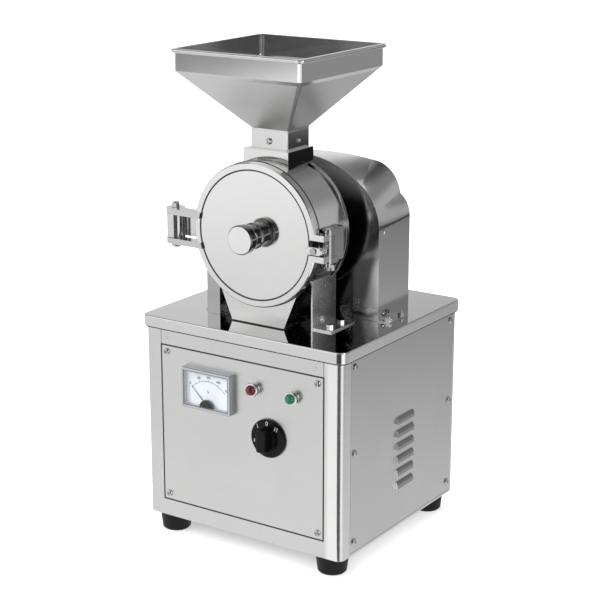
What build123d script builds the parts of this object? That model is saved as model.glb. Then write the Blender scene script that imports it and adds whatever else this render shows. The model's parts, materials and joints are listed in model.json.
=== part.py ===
from build123d import *
from math import acos, cos, radians, sin, sqrt
import os

# A bench laboratory mill in stainless steel.  A cabinet with the motor and the controls carries a
# round grinding chamber with a hinged door, a square feed hopper and an arched belt guard.
# Millimetres, +Z up, +X to the operator's right, the front faces -Y.
# The origin lies on the bench, under the middle of the cabinet.

os.makedirs("parts", exist_ok=True)

# ---------------------------------------------------------------- clearances
touch = 0.3            # free gap between pieces of different bodies
running = 0.05         # radial clearance of a shaft or pin in its hole
panel_gap = 0.5        # seam around an inset panel
hole_play = 0.1        # radial play of a screw in its hole

# ---------------------------------------------------------------- cabinet
cabinet_width = 300.0
cabinet_depth = 286.0
cabinet_height = 269.0
corner_radius = 9.0
sheet = 2.0
foot_height = 25.0
foot_radius = 21.5
foot_taper = 3.0
foot_inset_x = 27.0
foot_inset_y = 23.0
foot_screw_radius = 2.5
foot_screw_head = 5.0
foot_screw_low = 5.0
foot_recess = 7.0
foot_edge = 2.0
nut_radius = 4.6
nut_height = 4.0
bolt_head_radius = 4.8
bolt_head_height = 3.6
bolt_tail = 1.0
vent_length = 46.0
vent_width = 5.0
vent_pitch = 15.0
vent_setback = 83.0
lid_overhang = 4.0
lid_rim = 14.0
lip_width = 14.0
lip_sheet = 1.5

half_w = cabinet_width / 2
half_d = cabinet_depth / 2
wall_top = foot_height + cabinet_height
lid_top = wall_top + sheet
front_face = -half_d

# ---------------------------------------------------------------- panels
front_panel_margin_x = 26.5
front_panel_low = 23.5
front_panel_high = 34.5
side_panel_front = 21.0
side_panel_back = 12.0
side_panel_low = 3.5
side_panel_high = 15.0
rear_panel_margin_x = 16.0
panel_screw_inset = 8.2
side_screw_middle = 135.0
panel_screw_radius = 2.0
screw_head_radius = 4.4
screw_head_height = 2.8
screw_cross_width = 0.9
screw_cross_length = 4.8
screw_cross_depth = 1.3
louvre_count = 6
louvre_pitch = 17.7
louvre_width = 40.0
louvre_height = 10.0
louvre_depth = 3.2
louvre_sheet = 1.2
louvre_first = 53.0
louvre_centre_y = 7.0

gland_inset_x = 39.0
gland_rise = 33.5
gland_radius = 8.0
gland_bore = 4.5
gland_flange = 12.0
gland_cap = 10.5
gland_nose = 16.0
gland_nut_radius = 11.0
gland_nut = 4.0
gland_tail = 10.0

# ---------------------------------------------------------------- controls on the front panel
meter_x = -48.0
meter_z = 212.5
meter_width = 77.5
meter_height = 53.5
meter_proud = 9.0
meter_frame = 4.5
meter_case_width = 60.0
meter_case_height = 42.0
meter_case_gap = 11.0
meter_pivot_rise = 4.0
meter_cover_radius = 10.3
meter_hub_radius = 2.0
needle_length = 35.0
needle_start = 46.0
lamp_z = 227.0
lamp_red_x = 21.5
lamp_green_x = 80.0
lamp_radius = 8.0
lamp_flange_radius = 10.0
lamp_proud = 8.0
lamp_depth = 30.0
lens_radius = 6.6
lens_dome = 6.0
switch_x = 43.5
switch_z = 166.5
switch_disc_radius = 25.0
switch_disc_thick = 5.0
switch_knob_radius = 14.5
switch_grip_width = 14.0
switch_grip_proud = 14.0
switch_body_size = 44.0
switch_body_depth = 46.0
switch_shaft_radius = 3.5

# ---------------------------------------------------------------- grinding chamber and door
axis_z = 412.5
chamber_radius = 87.0
chamber_bore = 78.0
chamber_front = -97.7
chamber_shell_back = -42.0
chamber_flange_front = -38.0
chamber_flange_radius = 89.0
chamber_back = -31.0
chamber_wall = 7.0
door_radius = 91.0
door_front = -112.0
door_thick = 12.0
door_groove_radius = 82.0
door_plate_thick = 7.0
door_plate_inset = 0.5
gasket_thick = 2.0
ledge_radius = 76.5
gasket_inner = 78.5
gasket_outer = 85.0
knob_radius = 18.5
knob_neck = 15.0
knob_length = 30.0

# ---------------------------------------------------------------- hinge and latch
side_drop = 4.0
hinge_x = -128.0
hinge_y = -102.0
hinge_pin_radius = 4.0
hinge_knuckle_radius = 11.5
strap_spacing = 19.2
strap_thick = 7.5
strap_end_radius = 12.0
strap_tongue = 3.0
latch_x = 96.0
latch_y = -91.0
latch_pin_radius = 3.0
latch_eye_radius = 7.5
latch_eye_half = 13.2
latch_ear_thick = 7.0
latch_ear_radius = 7.5
bolt_radius = 4.0
fork_gap = 9.5
fork_prong = 7.5
fork_reach = 103.0
bar_length = 24.0
bar_height = 10.0
bar_thick = 12.0
bolt_tip = 1.8
hinge_arm_gap = 4.0
hinge_arm_thick = 9.0
hinge_arm_lap = 8.0
hinge_arm_inset = 1.0
hinge_web_left = 4.0
hinge_web_right = 6.0
hinge_nut_radius = 5.4
hinge_nut_height = 5.0
hinge_pin_tail = 2.0
hinge_head_radius = 6.5
hinge_head_height = 5.5

# ---------------------------------------------------------------- feed hopper
throat_half_x = 33.5
throat_front = -85.0
throat_back = -29.0
throat_top = 515.0
feed_half_x = 22.0
feed_front = -72.0
feed_back = -44.0
neck_half_x = 27.5
neck_half_y = 24.0
neck_y = -53.0
neck_top = 539.7
hopper_y = -53.0
hopper_half = 93.0
hopper_bend = 612.0
hopper_top = 639.0
hopper_sheet = 1.5
hopper_rim = 4.0
hopper_rim_height = 5.0
hopper_corner = 5.0
neck_screw_radius = 4.2

# ---------------------------------------------------------------- chute, drawer and stand
chute_front = -104.0
chute_door_gap = 0.8
chute_back = -42.0
chute_half_bottom = 39.0
chute_rise = 58.0
chute_flare = 0.42
chute_duct_half = 33.0
chute_duct_drop = 30.0
bracket_x = 66.0
bracket_sheet = 2.0
bracket_front = -83.0
bracket_back = -29.0
bracket_foot = 30.0
left_flange_front = -94.0
left_flange_width = 20.0
left_flange_top = 372.0
bracket_bolt_x = 83.5
bracket_bolt_ys = (-67.0, -41.5)
bracket_bolt_radius = 2.5
drawer_front_y = -96.0
drawer_back_y = -46.0
drawer_low = 204.0
drawer_high = 260.0
drawer_length = 190.0
drawer_sheet = 1.5
drawer_front_lap = 5.0
drawer_pull_reach = 16.0
drawer_pull_half = 18.0
drawer_pull_height = 8.0
drawer_pull_bar = 5.0
drawer_cut_play = 1.0
guide_sheet = 1.5
guide_height = 25.0
guide_shelf = 8.0

# ---------------------------------------------------------------- belt guard and drive
guard_half = 118.0
guard_front = -8.5
guard_back = 67.0
guard_sheet = 1.5
guard_apex = 500.0
guard_shoulder = 70.0
guard_shoulder_z = 413.0
guard_fold_angle = 21.0
guard_rear_drop = 10.0
guard_rear_crown = 60.0
guard_rear_crown_drop = 4.2
guard_rear_bow = 11.0
guard_rear_side_rise = 6.0
guard_kink_inset = 14.6
guard_kink_rise = 28.0
guard_kink_bow = 3.9
guard_foot_width = 17.0
guard_foot_length = 46.0
guard_foot_bolt_in = 11.0
guard_foot_bolts = (8.0, 38.0)
pulley_front = 10.0
pulley_width = 20.0
spindle_pulley_radius = 25.0
motor_pulley_radius = 50.0
motor_z = 140.0
motor_radius = 58.0
motor_front = 42.0
motor_rear_gap = 7.0
motor_end_bell = 6.0
motor_bell_edge = 8.0
motor_nose_radius = 24.0
motor_nose = 4.0
motor_rear_nose = 12.0
motor_shaft_end = 14.0
motor_rib_height = 3.0
motor_rib_thick = 2.4
motor_rib_inset = 18.0
motor_base_inset = 16.0
motor_base_side = 6.0
motor_base_thick = 4.0
motor_bolt_inset = 8.0
cradle_inner = 26.0
cradle_wall = 14.0
cradle_inset = 4.0
cradle_drop = 20.0
motor_shaft_radius = 7.0
spindle_radius = 7.5
bearing_radius = 17.5
bearing_width = 11.0
barrel_radius = 26.0
barrel_back = 4.0
barrel_flange = 9.0
barrel_flange_lap = 12.0
rotor_disc_radius = 44.0
rotor_disc_thick = 7.0
rotor_mid_y = -69.0
rotor_hub_radius = 16.0
rotor_front = -85.0
rotor_back = -53.0
beater_count = 6
beater_inner = 30.0
beater_outer = 68.0
beater_thick = 7.0
liner_depth = 5.0
liner_tooth = 2.4
liner_pitch = 6
screen_sheet = 1.5
screen_slot = 2.6
screen_pitch = 8

# ---------------------------------------------------------------- sizes that follow from these
door_back = door_front + door_thick
motor_back = half_d - motor_rear_gap
meter_case_depth = drawer_front_y - meter_case_gap - front_face

# ================================================================ helpers


def block(x0, x1, y0, y1, z0, z1):
    """A box from its two corners."""
    middle = Pos((x0 + x1) / 2, (y0 + y1) / 2, (z0 + z1) / 2)
    return middle * Box(x1 - x0, y1 - y0, z1 - z0)


def rod_x(x0, x1, y, z, radius):
    """A round bar along X."""
    return Pos((x0 + x1) / 2, y, z) * Rot(0, 90, 0) * Cylinder(radius, x1 - x0)


def rod_y(x, y0, y1, z, radius):
    """A round bar along Y."""
    return Pos(x, (y0 + y1) / 2, z) * Rot(90, 0, 0) * Cylinder(radius, y1 - y0)


def rod_z(x, y, z0, z1, radius):
    """A round bar along Z."""
    return Pos(x, y, (z0 + z1) / 2) * Cylinder(radius, z1 - z0)


def prism_x(sketch, x0, x1):
    """A sketch drawn in Y and Z, pulled along X."""
    plane = Plane((x0, 0, 0), x_dir=(0, 1, 0), z_dir=(1, 0, 0))
    return extrude(plane * sketch, amount=x1 - x0)


def prism_y(sketch, y0, y1):
    """A sketch drawn in X and Z, pulled along Y."""
    plane = Plane((0, y0, 0), x_dir=(1, 0, 0), z_dir=(0, -1, 0))
    return extrude(plane * sketch, amount=-(y1 - y0))


def prism_z(sketch, z0, z1):
    """A sketch drawn in X and Y, pulled along Z."""
    return extrude(Plane.XY.offset(z0) * sketch, amount=z1 - z0)


def turned_y(profile, x, z):
    """A turned piece along Y, from (radius, y) points."""
    return Pos(x, 0, z) * revolve(make_face(Polyline(*profile, close=True)), axis=Axis.Y)


def turned_z(profile, x, y):
    """A turned piece along Z, from (radius, z) points."""
    outline = Plane.XZ * make_face(Polyline(*profile, close=True))
    return Pos(x, y, 0) * revolve(outline, axis=Axis.Z)


def save(name, pieces):
    """Write one node; a list becomes a group of separate solids."""
    group = pieces if isinstance(pieces, (list, tuple)) else [pieces]
    solids = [solid for piece in group for solid in piece.solids()]
    shape = solids[0] if len(solids) == 1 else Compound(children=solids)
    export_step(shape, f"parts/{name}.step")


def bored(piece, tools):
    """The piece with every tool cut out of it."""
    for tool in tools:
        piece = piece - tool
    return piece


# ================================================================ cabinet
front_x = half_w - front_panel_margin_x
front_z0 = foot_height + front_panel_low
front_z1 = wall_top - front_panel_high
side_y0 = front_face + side_panel_front
side_y1 = half_d - side_panel_back
side_z0 = foot_height + side_panel_low
side_z1 = wall_top - side_panel_high
rear_x = half_w - rear_panel_margin_x

front_screws = [(sx * (front_x - panel_screw_inset), z)
                for sx in (-1, 1) for z in (front_z0 + panel_screw_inset, front_z1 - panel_screw_inset)]
side_mid_z = foot_height + side_screw_middle
side_screw_zs = (side_z0 + panel_screw_inset + 6, side_mid_z, side_z1 - panel_screw_inset)
side_screws = [(y, z) for y in (side_y0 + panel_screw_inset, side_y1 - panel_screw_inset)
               for z in side_screw_zs]
rear_screws = [(sx * (rear_x - panel_screw_inset), z)
               for sx in (-1, 1) for z in (side_z0 + panel_screw_inset, side_z1 - panel_screw_inset)]
screw_hole = panel_screw_radius + hole_play
screw_reach = sheet + lip_sheet + 2


def ring_sketch(x0, x1, z0, z1, grow, shrink):
    """A rectangular frame around an opening, grown outwards and reaching inwards."""
    middle = Pos((x0 + x1) / 2, (z0 + z1) / 2)
    outer = Rectangle(x1 - x0 + 2 * grow, z1 - z0 + 2 * grow)
    return middle * (outer - Rectangle(x1 - x0 - 2 * shrink, z1 - z0 - 2 * shrink))


def make_cabinet_frame():
    """The wrapped shell, with lips behind the openings that the panels sit in."""
    outer = RectangleRounded(cabinet_width, cabinet_depth, corner_radius)
    inner = RectangleRounded(cabinet_width - 2 * sheet, cabinet_depth - 2 * sheet, corner_radius - sheet)
    shell = prism_z(outer - inner, foot_height, wall_top)
    g = panel_gap
    shell -= block(-front_x - g, front_x + g, front_face - 1, front_face + sheet, front_z0 - g, front_z1 + g)
    shell -= block(-rear_x - g, rear_x + g, half_d - sheet, half_d + 1, side_z0 - g, side_z1 + g)
    for side in (-1, 1):
        wall = sorted((side * (half_w - sheet), side * (half_w + 1)))
        shell -= block(wall[0], wall[1], side_y0 - g, side_y1 + g, side_z0 - g, side_z1 + g)
    lip = 2 * g
    inside = front_face + sheet
    front = ring_sketch(-front_x, front_x, front_z0, front_z1, lip, lip_width)
    rear = ring_sketch(-rear_x, rear_x, side_z0, side_z1, lip, lip_width)
    flank = ring_sketch(side_y0, side_y1, side_z0, side_z1, lip, lip_width)
    shell += prism_y(front, inside, inside + lip_sheet)
    shell += prism_y(rear, half_d - sheet - lip_sheet, half_d - sheet)
    shell += prism_x(flank, half_w - sheet - lip_sheet, half_w - sheet)
    shell += prism_x(flank, -half_w + sheet, -half_w + sheet + lip_sheet)
    for x, z in front_screws:
        shell -= rod_y(x, front_face - 1, front_face + 9, z, screw_hole)
    for x, z in rear_screws:
        shell -= rod_y(x, half_d - 9, half_d + 1, z, screw_hole)
    for y, z in side_screws:
        shell -= rod_x(half_w - 9, half_w + 1, y, z, screw_hole)
        shell -= rod_x(-half_w - 1, -half_w + 9, y, z, screw_hole)
    return shell


foot_spots = [(sx * (half_w - foot_inset_x), sy * (half_d - foot_inset_y)) for sx in (-1, 1) for sy in (-1, 1)]
foot_hole = foot_screw_radius + hole_play


def make_bottom_plate():
    """The floor of the cabinet, with the holes of the feet and two rows of air slots."""
    inner = RectangleRounded(cabinet_width - 2 * sheet - 2 * hole_play,
                             cabinet_depth - 2 * sheet - 2 * hole_play, corner_radius - sheet)
    plate = prism_z(inner, foot_height, foot_height + sheet)
    for x, y in foot_spots:
        plate -= rod_z(x, y, foot_height - 1, foot_height + sheet + 1, foot_hole)
    slot = SlotOverall(vent_length, vent_width, rotation=90)
    for side in (-1, 1):
        for row in (4, 5):
            vent = Pos(side * (row + 1) * vent_pitch, half_d - vent_setback) * slot
            plate -= prism_z(vent, foot_height - 1, foot_height + sheet + 1)
    for x, y in motor_bolt_spots:
        plate -= rod_z(x, y, foot_height - 1, foot_height + sheet + 1, bracket_bolt_radius + hole_play)
    return plate


def make_feet():
    """Four tapered rubber feet, each with a sunk hole for its screw."""
    low = foot_radius - foot_taper
    floor = foot_screw_low + nut_height
    outline = [(foot_recess, 0), (low - foot_edge, 0), (low, foot_edge), (foot_radius, foot_height),
               (foot_hole, foot_height), (foot_hole, floor), (foot_recess, floor)]
    return [turned_z(outline, x, y) for x, y in foot_spots]


def make_foot_screws():
    """A pan head screw up through each foot into the bottom plate, with its nut on top."""
    screws = []
    for x, y in foot_spots:
        floor = foot_screw_low + nut_height
        top = foot_height + sheet
        screw = rod_z(x, y, foot_screw_low, floor, foot_screw_head)
        screw += rod_z(x, y, floor, top + nut_height + bolt_tail, foot_screw_radius)
        nut = prism_z(RegularPolygon(nut_radius, 6), top, top + nut_height)
        screws.append(screw + Pos(x, y) * nut)
    return screws


def make_lid():
    """The folded tray that closes the cabinet and carries the chamber."""
    outer_w = cabinet_width + 2 * lid_overhang
    outer_d = cabinet_depth + 2 * lid_overhang
    outer = RectangleRounded(outer_w, outer_d, corner_radius + lid_overhang)
    inner = RectangleRounded(outer_w - 2 * sheet, outer_d - 2 * sheet, corner_radius + lid_overhang - sheet)
    tray = prism_z(outer, lid_top - lid_rim, lid_top)
    tray = fillet(tray.faces().sort_by(Axis.Z)[-1].edges(), sheet * 0.8)
    tray -= prism_z(inner, lid_top - lid_rim - 1, wall_top)
    duct = chute_duct_half + hole_play
    tray -= block(-duct, duct, chute_front + 4 - hole_play, chute_back - 4 + hole_play, wall_top - 1, lid_top + 1)
    slot = motor_pulley_radius + 4
    tray -= block(-slot, slot, pulley_front - 5, pulley_front + pulley_width + 5, wall_top - 1, lid_top + 1)
    for side in (-1, 1):
        for y in bracket_bolt_ys:
            tray -= rod_z(side * bracket_bolt_x, y, wall_top - 1, lid_top + 1, bracket_bolt_radius + hole_play)
    for x, y in guard_foot_bolt_spots:
        tray -= rod_z(x, y, wall_top - 1, lid_top + 1, bracket_bolt_radius + hole_play)
    return tray


# ================================================================ panels and their screws
def make_front_panel():
    """The control panel, cut out for the meter, the two lamps and the switch."""
    back = front_face + sheet
    plate = block(-front_x, front_x, front_face, back, front_z0, front_z1)
    cuts = [rod_y(x, front_face - 1, back + 1, z, screw_hole) for x, z in front_screws]
    cuts += [rod_y(x, front_face - 1, back + 1, lamp_z, lamp_radius + hole_play)
             for x in (lamp_red_x, lamp_green_x)]
    cuts.append(rod_y(switch_x, front_face - 1, back + 1, switch_z, switch_shaft_radius + 2))
    half_case_w = meter_case_width / 2 + hole_play
    half_case_h = meter_case_height / 2 + hole_play
    cuts.append(block(meter_x - half_case_w, meter_x + half_case_w, front_face - 1, back + 1,
                      meter_z - half_case_h, meter_z + half_case_h))
    return bored(plate, cuts)


def louvre_form(width, height, depth, shift):
    """The pressed form of one louvre: a hood that is deep at its lower edge."""
    outline = Pos(0, height / 2) * RectangleRounded(width, height + 8, 4)
    outline &= Pos(0, height / 2) * Rectangle(width, height)
    body = prism_x(outline, -shift, depth)
    edge = make_face([Line((-shift, 0), (depth, 0)), Line((depth, 0), (depth, height * 0.3)),
                      ThreePointArc((depth, height * 0.3), (depth * 0.72, height * 0.74), (0, height)),
                      Line((0, height), (-shift, height)), Line((-shift, height), (-shift, 0))])
    return body & prism_y(edge, -width, width)


def make_side_panel(side):
    """A side panel with a column of louvres; the left one lets the sample drawer through."""
    plate = block(half_w - sheet, half_w, side_y0, side_y1, side_z0, side_z1)
    hood = louvre_form(louvre_width, louvre_height, louvre_depth, sheet)
    hollow = louvre_form(louvre_width - 2 * louvre_sheet, louvre_height - louvre_sheet,
                         louvre_depth - louvre_sheet, sheet + 1)
    for index in range(louvre_count):
        place = Pos(half_w, louvre_centre_y, foot_height + louvre_first + index * louvre_pitch)
        plate += place * hood
        plate -= place * (Pos(0, 0, -0.01) * hollow)
    plate = bored(plate, [rod_x(half_w - sheet - 1, half_w + 1, y, z, screw_hole) for y, z in side_screws])
    if side > 0:
        return plate
    plate = mirror(plate, Plane.YZ)
    play = drawer_cut_play
    return plate - block(-half_w - 1, -half_w + sheet + 1, drawer_front_y - play, drawer_back_y + play,
                         drawer_low - play, drawer_high + play)


gland_x = rear_x - gland_inset_x
gland_z = side_z0 + gland_rise


def make_rear_panel():
    """The plain rear panel, with the hole of the cable gland."""
    plate = block(-rear_x, rear_x, half_d - sheet, half_d, side_z0, side_z1)
    cuts = [rod_y(x, half_d - sheet - 1, half_d + 1, z, screw_hole) for x, z in rear_screws]
    cuts.append(rod_y(gland_x, half_d - sheet - 1, half_d + 1, gland_z, gland_radius + hole_play))
    return bored(plate, cuts)


def pan_screw():
    """A pan head screw along +Z, whose head sits on Z = 0 and whose shank points down."""
    head = [(0, screw_head_height), (2.4, screw_head_height), (screw_head_radius - 0.6, screw_head_height - 0.9),
            (screw_head_radius, 0.6), (screw_head_radius, 0), (panel_screw_radius, 0),
            (panel_screw_radius, -screw_reach), (0, -screw_reach)]
    screw = turned_z(head, 0, 0)
    half = screw_cross_width / 2
    reach = screw_cross_length / 2
    low = screw_head_height - screw_cross_depth
    screw -= block(-reach, reach, -half, half, low, screw_head_height + 1)
    return screw - block(-half, half, -reach, reach, low, screw_head_height + 1)


def make_panel_screws():
    """Every screw that holds a panel to the frame."""
    screw = pan_screw()
    screws = [Pos(x, front_face, z) * Rot(90, 0, 0) * screw for x, z in front_screws]
    screws += [Pos(x, half_d, z) * Rot(-90, 0, 0) * screw for x, z in rear_screws]
    for y, z in side_screws:
        screws.append(Pos(half_w, y, z) * Rot(0, 90, 0) * screw)
        screws.append(Pos(-half_w, y, z) * Rot(0, -90, 0) * screw)
    return screws


# ================================================================ meter, lamps and switch
meter_front = front_face - meter_proud
meter_pivot_z = meter_z - meter_height / 2 + meter_pivot_rise
meter_well_low = meter_z - meter_height / 2 + meter_frame
dial_y = front_face - 2.0
needle_y0 = dial_y - 1.6
needle_y1 = dial_y - 1.0
window_y = meter_front + 1.5


def make_meter_case():
    """The moulded case: a frame in front of the panel and a box behind it."""
    frame = Pos(meter_x, meter_z) * RectangleRounded(meter_width, meter_height, 3)
    body = prism_y(frame, meter_front, front_face)
    body = fillet(body.faces().sort_by(Axis.Y)[0].edges(), 1.4)
    well_w = meter_width / 2 - meter_frame
    well_h = meter_height / 2 - meter_frame
    body -= block(meter_x - well_w, meter_x + well_w, meter_front - 1, dial_y + 1,
                  meter_z - well_h, meter_z + well_h)
    half_w_case = meter_case_width / 2
    half_h_case = meter_case_height / 2
    body += block(meter_x - half_w_case, meter_x + half_w_case, front_face - 1, front_face + meter_case_depth,
                  meter_z - half_h_case, meter_z + half_h_case)
    pocket = meter_hub_radius + 1
    body -= block(meter_x - 2 * pocket, meter_x + 2 * pocket, window_y, dial_y, meter_pivot_z - pocket,
                  meter_well_low + 1)
    return body - rod_y(meter_x, dial_y - 1, dial_y + 1.8, meter_pivot_z, 1.6)


def make_meter_dial():
    """The scale plate at the bottom of the well."""
    well_w = meter_width / 2 - meter_frame
    well_h = meter_height / 2 - meter_frame
    plate = block(meter_x - well_w, meter_x + well_w, dial_y, dial_y + 1, meter_z - well_h, meter_z + well_h)
    return plate - rod_y(meter_x, dial_y - 1, dial_y + 2, meter_pivot_z, 1.6)


def make_meter_window():
    """The clear window that closes the well."""
    well_w = meter_width / 2 - meter_frame
    well_h = meter_height / 2 - meter_frame
    return block(meter_x - well_w, meter_x + well_w, meter_front + 0.4, window_y, meter_z - well_h, meter_z + well_h)


def make_needle():
    """The pointer with its hub and pivot, at rest on the left end of the scale."""
    hub = rod_y(meter_x, needle_y0, needle_y1, meter_pivot_z, meter_hub_radius)
    pivot = rod_y(meter_x, needle_y0, dial_y + 1.5, meter_pivot_z, meter_hub_radius / 2)
    arm = prism_y(Polygon((-0.6, 0), (0.6, 0), (0.25, needle_length), (-0.25, needle_length), align=None),
                  needle_y0, needle_y1)
    return hub + pivot + Pos(meter_x, 0, meter_pivot_z) * Rot(0, -needle_start, 0) * arm


def make_meter_cover():
    """The black half-round cover over the movement, standing on the lower edge of the well."""
    disc = Pos(meter_x, meter_pivot_z) * Circle(meter_cover_radius)
    upper = Pos(meter_x, meter_well_low + meter_cover_radius) * Rectangle(3 * meter_cover_radius,
                                                                          2 * meter_cover_radius)
    return prism_y(disc & upper, window_y, needle_y0 - touch)


def make_lamp_bezels():
    """Two chromed bezels with their bodies through the panel, and the ring nuts behind it."""
    outline = [(lens_radius, front_face - lamp_proud), (lamp_flange_radius - 1.6, front_face - lamp_proud),
               (lamp_flange_radius - 0.8, front_face - lamp_proud + 1), (lamp_flange_radius - 0.8, front_face - 2.5),
               (lamp_flange_radius, front_face - 2), (lamp_flange_radius, front_face),
               (lamp_radius, front_face), (lamp_radius, front_face + sheet),
               (lamp_flange_radius, front_face + sheet), (lamp_flange_radius, front_face + sheet + 3),
               (lamp_radius, front_face + sheet + 3), (lamp_radius, front_face + lamp_depth),
               (3, front_face + lamp_depth), (3, front_face), (lens_radius, front_face)]
    return [turned_y(outline, x, lamp_z) for x in (lamp_red_x, lamp_green_x)]


def make_lens(x):
    """A domed lens that sits in its bezel."""
    base = front_face - lamp_proud - 1
    rise = lens_dome - 1
    sphere = (lens_radius ** 2 + rise ** 2) / (2 * rise)
    centre = base - rise + sphere
    half_angle = acos((sphere - rise) / sphere) / 2
    middle = (sphere * sin(half_angle), centre - sphere * cos(half_angle))
    outline = make_face([Line((0, front_face), (lens_radius, front_face)),
                         Line((lens_radius, front_face), (lens_radius, base)),
                         ThreePointArc((lens_radius, base), middle, (0, base - rise)),
                         Line((0, base - rise), (0, front_face))])
    return Pos(x, 0, lamp_z) * revolve(outline, axis=Axis.Y)


def make_switch_plate():
    """The round black scale plate of the rotary switch, with a small index at its left."""
    outline = [(switch_shaft_radius + 1, front_face), (switch_disc_radius, front_face),
               (switch_disc_radius, front_face - switch_disc_thick + 2),
               (switch_disc_radius - 1.5, front_face - switch_disc_thick),
               (switch_shaft_radius + 1, front_face - switch_disc_thick)]
    return turned_y(outline, switch_x, switch_z)


def make_switch_knob():
    """The grip with its round skirt and the shaft that turns the contacts."""
    face = front_face - switch_disc_thick - touch
    skirt = turned_y([(0, face), (switch_knob_radius, face), (switch_knob_radius - 1, face - 4), (0, face - 4)],
                     switch_x, switch_z)
    grip = Pos(switch_x, switch_z) * RectangleRounded(switch_grip_width, 2 * switch_knob_radius, 3)
    grip = prism_y(grip, face - switch_grip_proud, face - 0.5)
    grip = fillet(grip.faces().sort_by(Axis.Y)[0].edges(), 1.5)
    shaft = rod_y(switch_x, face - 1, front_face + switch_body_depth - 8, switch_z, switch_shaft_radius)
    return skirt + grip + shaft


def make_switch_body():
    """The stack of contact wafers behind the panel."""
    half = switch_body_size / 2
    back = front_face + sheet
    body = block(switch_x - half, switch_x + half, back, back + switch_body_depth, switch_z - half, switch_z + half)
    for index in range(3):
        y = back + 12 + 11 * index
        ring = block(switch_x - half - 1, switch_x + half + 1, y, y + 1.5, switch_z - half - 1, switch_z + half + 1)
        body -= ring - block(switch_x - half + 2, switch_x + half - 2, y, y + 1.5,
                             switch_z - half + 2, switch_z + half - 2)
    return body - rod_y(switch_x, front_face - 5, front_face + switch_body_depth - 7, switch_z,
                        switch_shaft_radius + running)


def make_gland():
    """The cable gland on the rear panel: a body with a flange, a lock nut inside and a domed cap."""
    inner = half_d - sheet
    outline = [(gland_bore, half_d + gland_nose), (gland_radius, half_d + gland_nose),
               (gland_cap, half_d + gland_flange), (gland_cap, half_d + gland_nut), (gland_flange, half_d + gland_nut),
               (gland_flange, half_d), (gland_radius, half_d), (gland_radius, inner), (gland_nut_radius, inner),
               (gland_nut_radius, inner - gland_nut), (gland_radius, inner - gland_nut),
               (gland_radius, half_d - gland_tail), (gland_bore, half_d - gland_tail)]
    return turned_y(outline, gland_x, gland_z)


# ================================================================ grinding chamber
def drum_solid():
    """The outside of the drum: the shell, a groove and the back flange."""
    groove = chamber_radius - 3
    outline = [(0, chamber_front), (chamber_radius - 1, chamber_front), (chamber_radius, chamber_front + 1),
               (chamber_radius, chamber_shell_back), (groove, chamber_shell_back), (groove, chamber_flange_front),
               (chamber_flange_radius, chamber_flange_front), (chamber_flange_radius, chamber_back - 1),
               (chamber_flange_radius - 1, chamber_back), (0, chamber_back)]
    return turned_y(outline, 0, axis_z)


def saddle():
    """The space of the drum, as a plain cylinder that saddles are cut with."""
    flange = rod_y(0, chamber_shell_back, chamber_back + 10, axis_z, chamber_flange_radius)
    return rod_y(0, chamber_front - 20, chamber_shell_back, axis_z, chamber_radius) + flange


def make_chamber_housing():
    """The drum: open at the front, with a feed opening on top and a discharge opening below."""
    drum = drum_solid()
    drum -= rod_y(0, chamber_front - 1, chamber_back - chamber_wall, axis_z, chamber_bore)
    drum -= rod_y(0, chamber_back - 20, chamber_back + 1, axis_z, barrel_radius - 4)
    drum -= block(-feed_half_x, feed_half_x, feed_front, feed_back, axis_z + 50, axis_z + 100)
    drum -= block(-chute_duct_half, chute_duct_half, chamber_front + 8, chute_back - 4, axis_z - 100, axis_z - 50)
    return drum


def make_throat_block():
    """The feed throat: saddled on the drum, with a spigot that the hopper neck slips over."""
    solid = block(-throat_half_x, throat_half_x, throat_front, throat_back, axis_z + 60, throat_top)
    fit = hopper_sheet + hole_play
    spigot = Pos(0, neck_y) * RectangleRounded(2 * (neck_half_x - fit), 2 * (neck_half_y - fit), 2)
    solid += prism_z(spigot, throat_top - 1, throat_top + 17)
    solid -= saddle()
    return solid - block(-feed_half_x, feed_half_x, feed_front, feed_back, axis_z, throat_top + 30)


def make_hopper():
    """The square sheet hopper: neck, funnel, upright wall and a rolled rim."""
    def section(half_x, half_y, y, radius, z):
        return Plane.XY.offset(z) * Pos(0, y) * RectangleRounded(2 * half_x, 2 * half_y, radius)

    def body(inset):
        low = section(neck_half_x - inset, neck_half_y - inset, neck_y, 2, neck_top)
        high = section(hopper_half - inset, hopper_half - inset, hopper_y, hopper_corner, hopper_bend)
        extra = 1 if inset else 0
        neck = Pos(0, neck_y) * RectangleRounded(2 * (neck_half_x - inset), 2 * (neck_half_y - inset), 2)
        wall = Pos(0, hopper_y) * RectangleRounded(2 * (hopper_half - inset), 2 * (hopper_half - inset),
                                                   hopper_corner)
        shape = loft([low.faces()[0], high.faces()[0]])
        shape += prism_z(neck, throat_top - extra, neck_top)
        shape += prism_z(wall, hopper_bend, hopper_top + extra)
        return shape

    rim = Pos(0, hopper_y) * RectangleRounded(2 * (hopper_half + hopper_rim), 2 * (hopper_half + hopper_rim),
                                              hopper_corner + hopper_rim)
    bead = prism_z(rim, hopper_top - hopper_rim_height, hopper_top)
    bead = fillet(bead.faces().filter_by(Axis.Z).edges(), hopper_rim_height * 0.42)
    shell = (body(0) + bead) - body(hopper_sheet)
    holes = [rod_y(0, neck_y - neck_half_y - 1, neck_y, neck_screw_z, 2 + hole_play),
             rod_x(0, neck_half_x + 1, neck_y, neck_screw_z, 2 + hole_play)]
    return bored(shell, holes)


neck_screw_z = throat_top + 10.0


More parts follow.
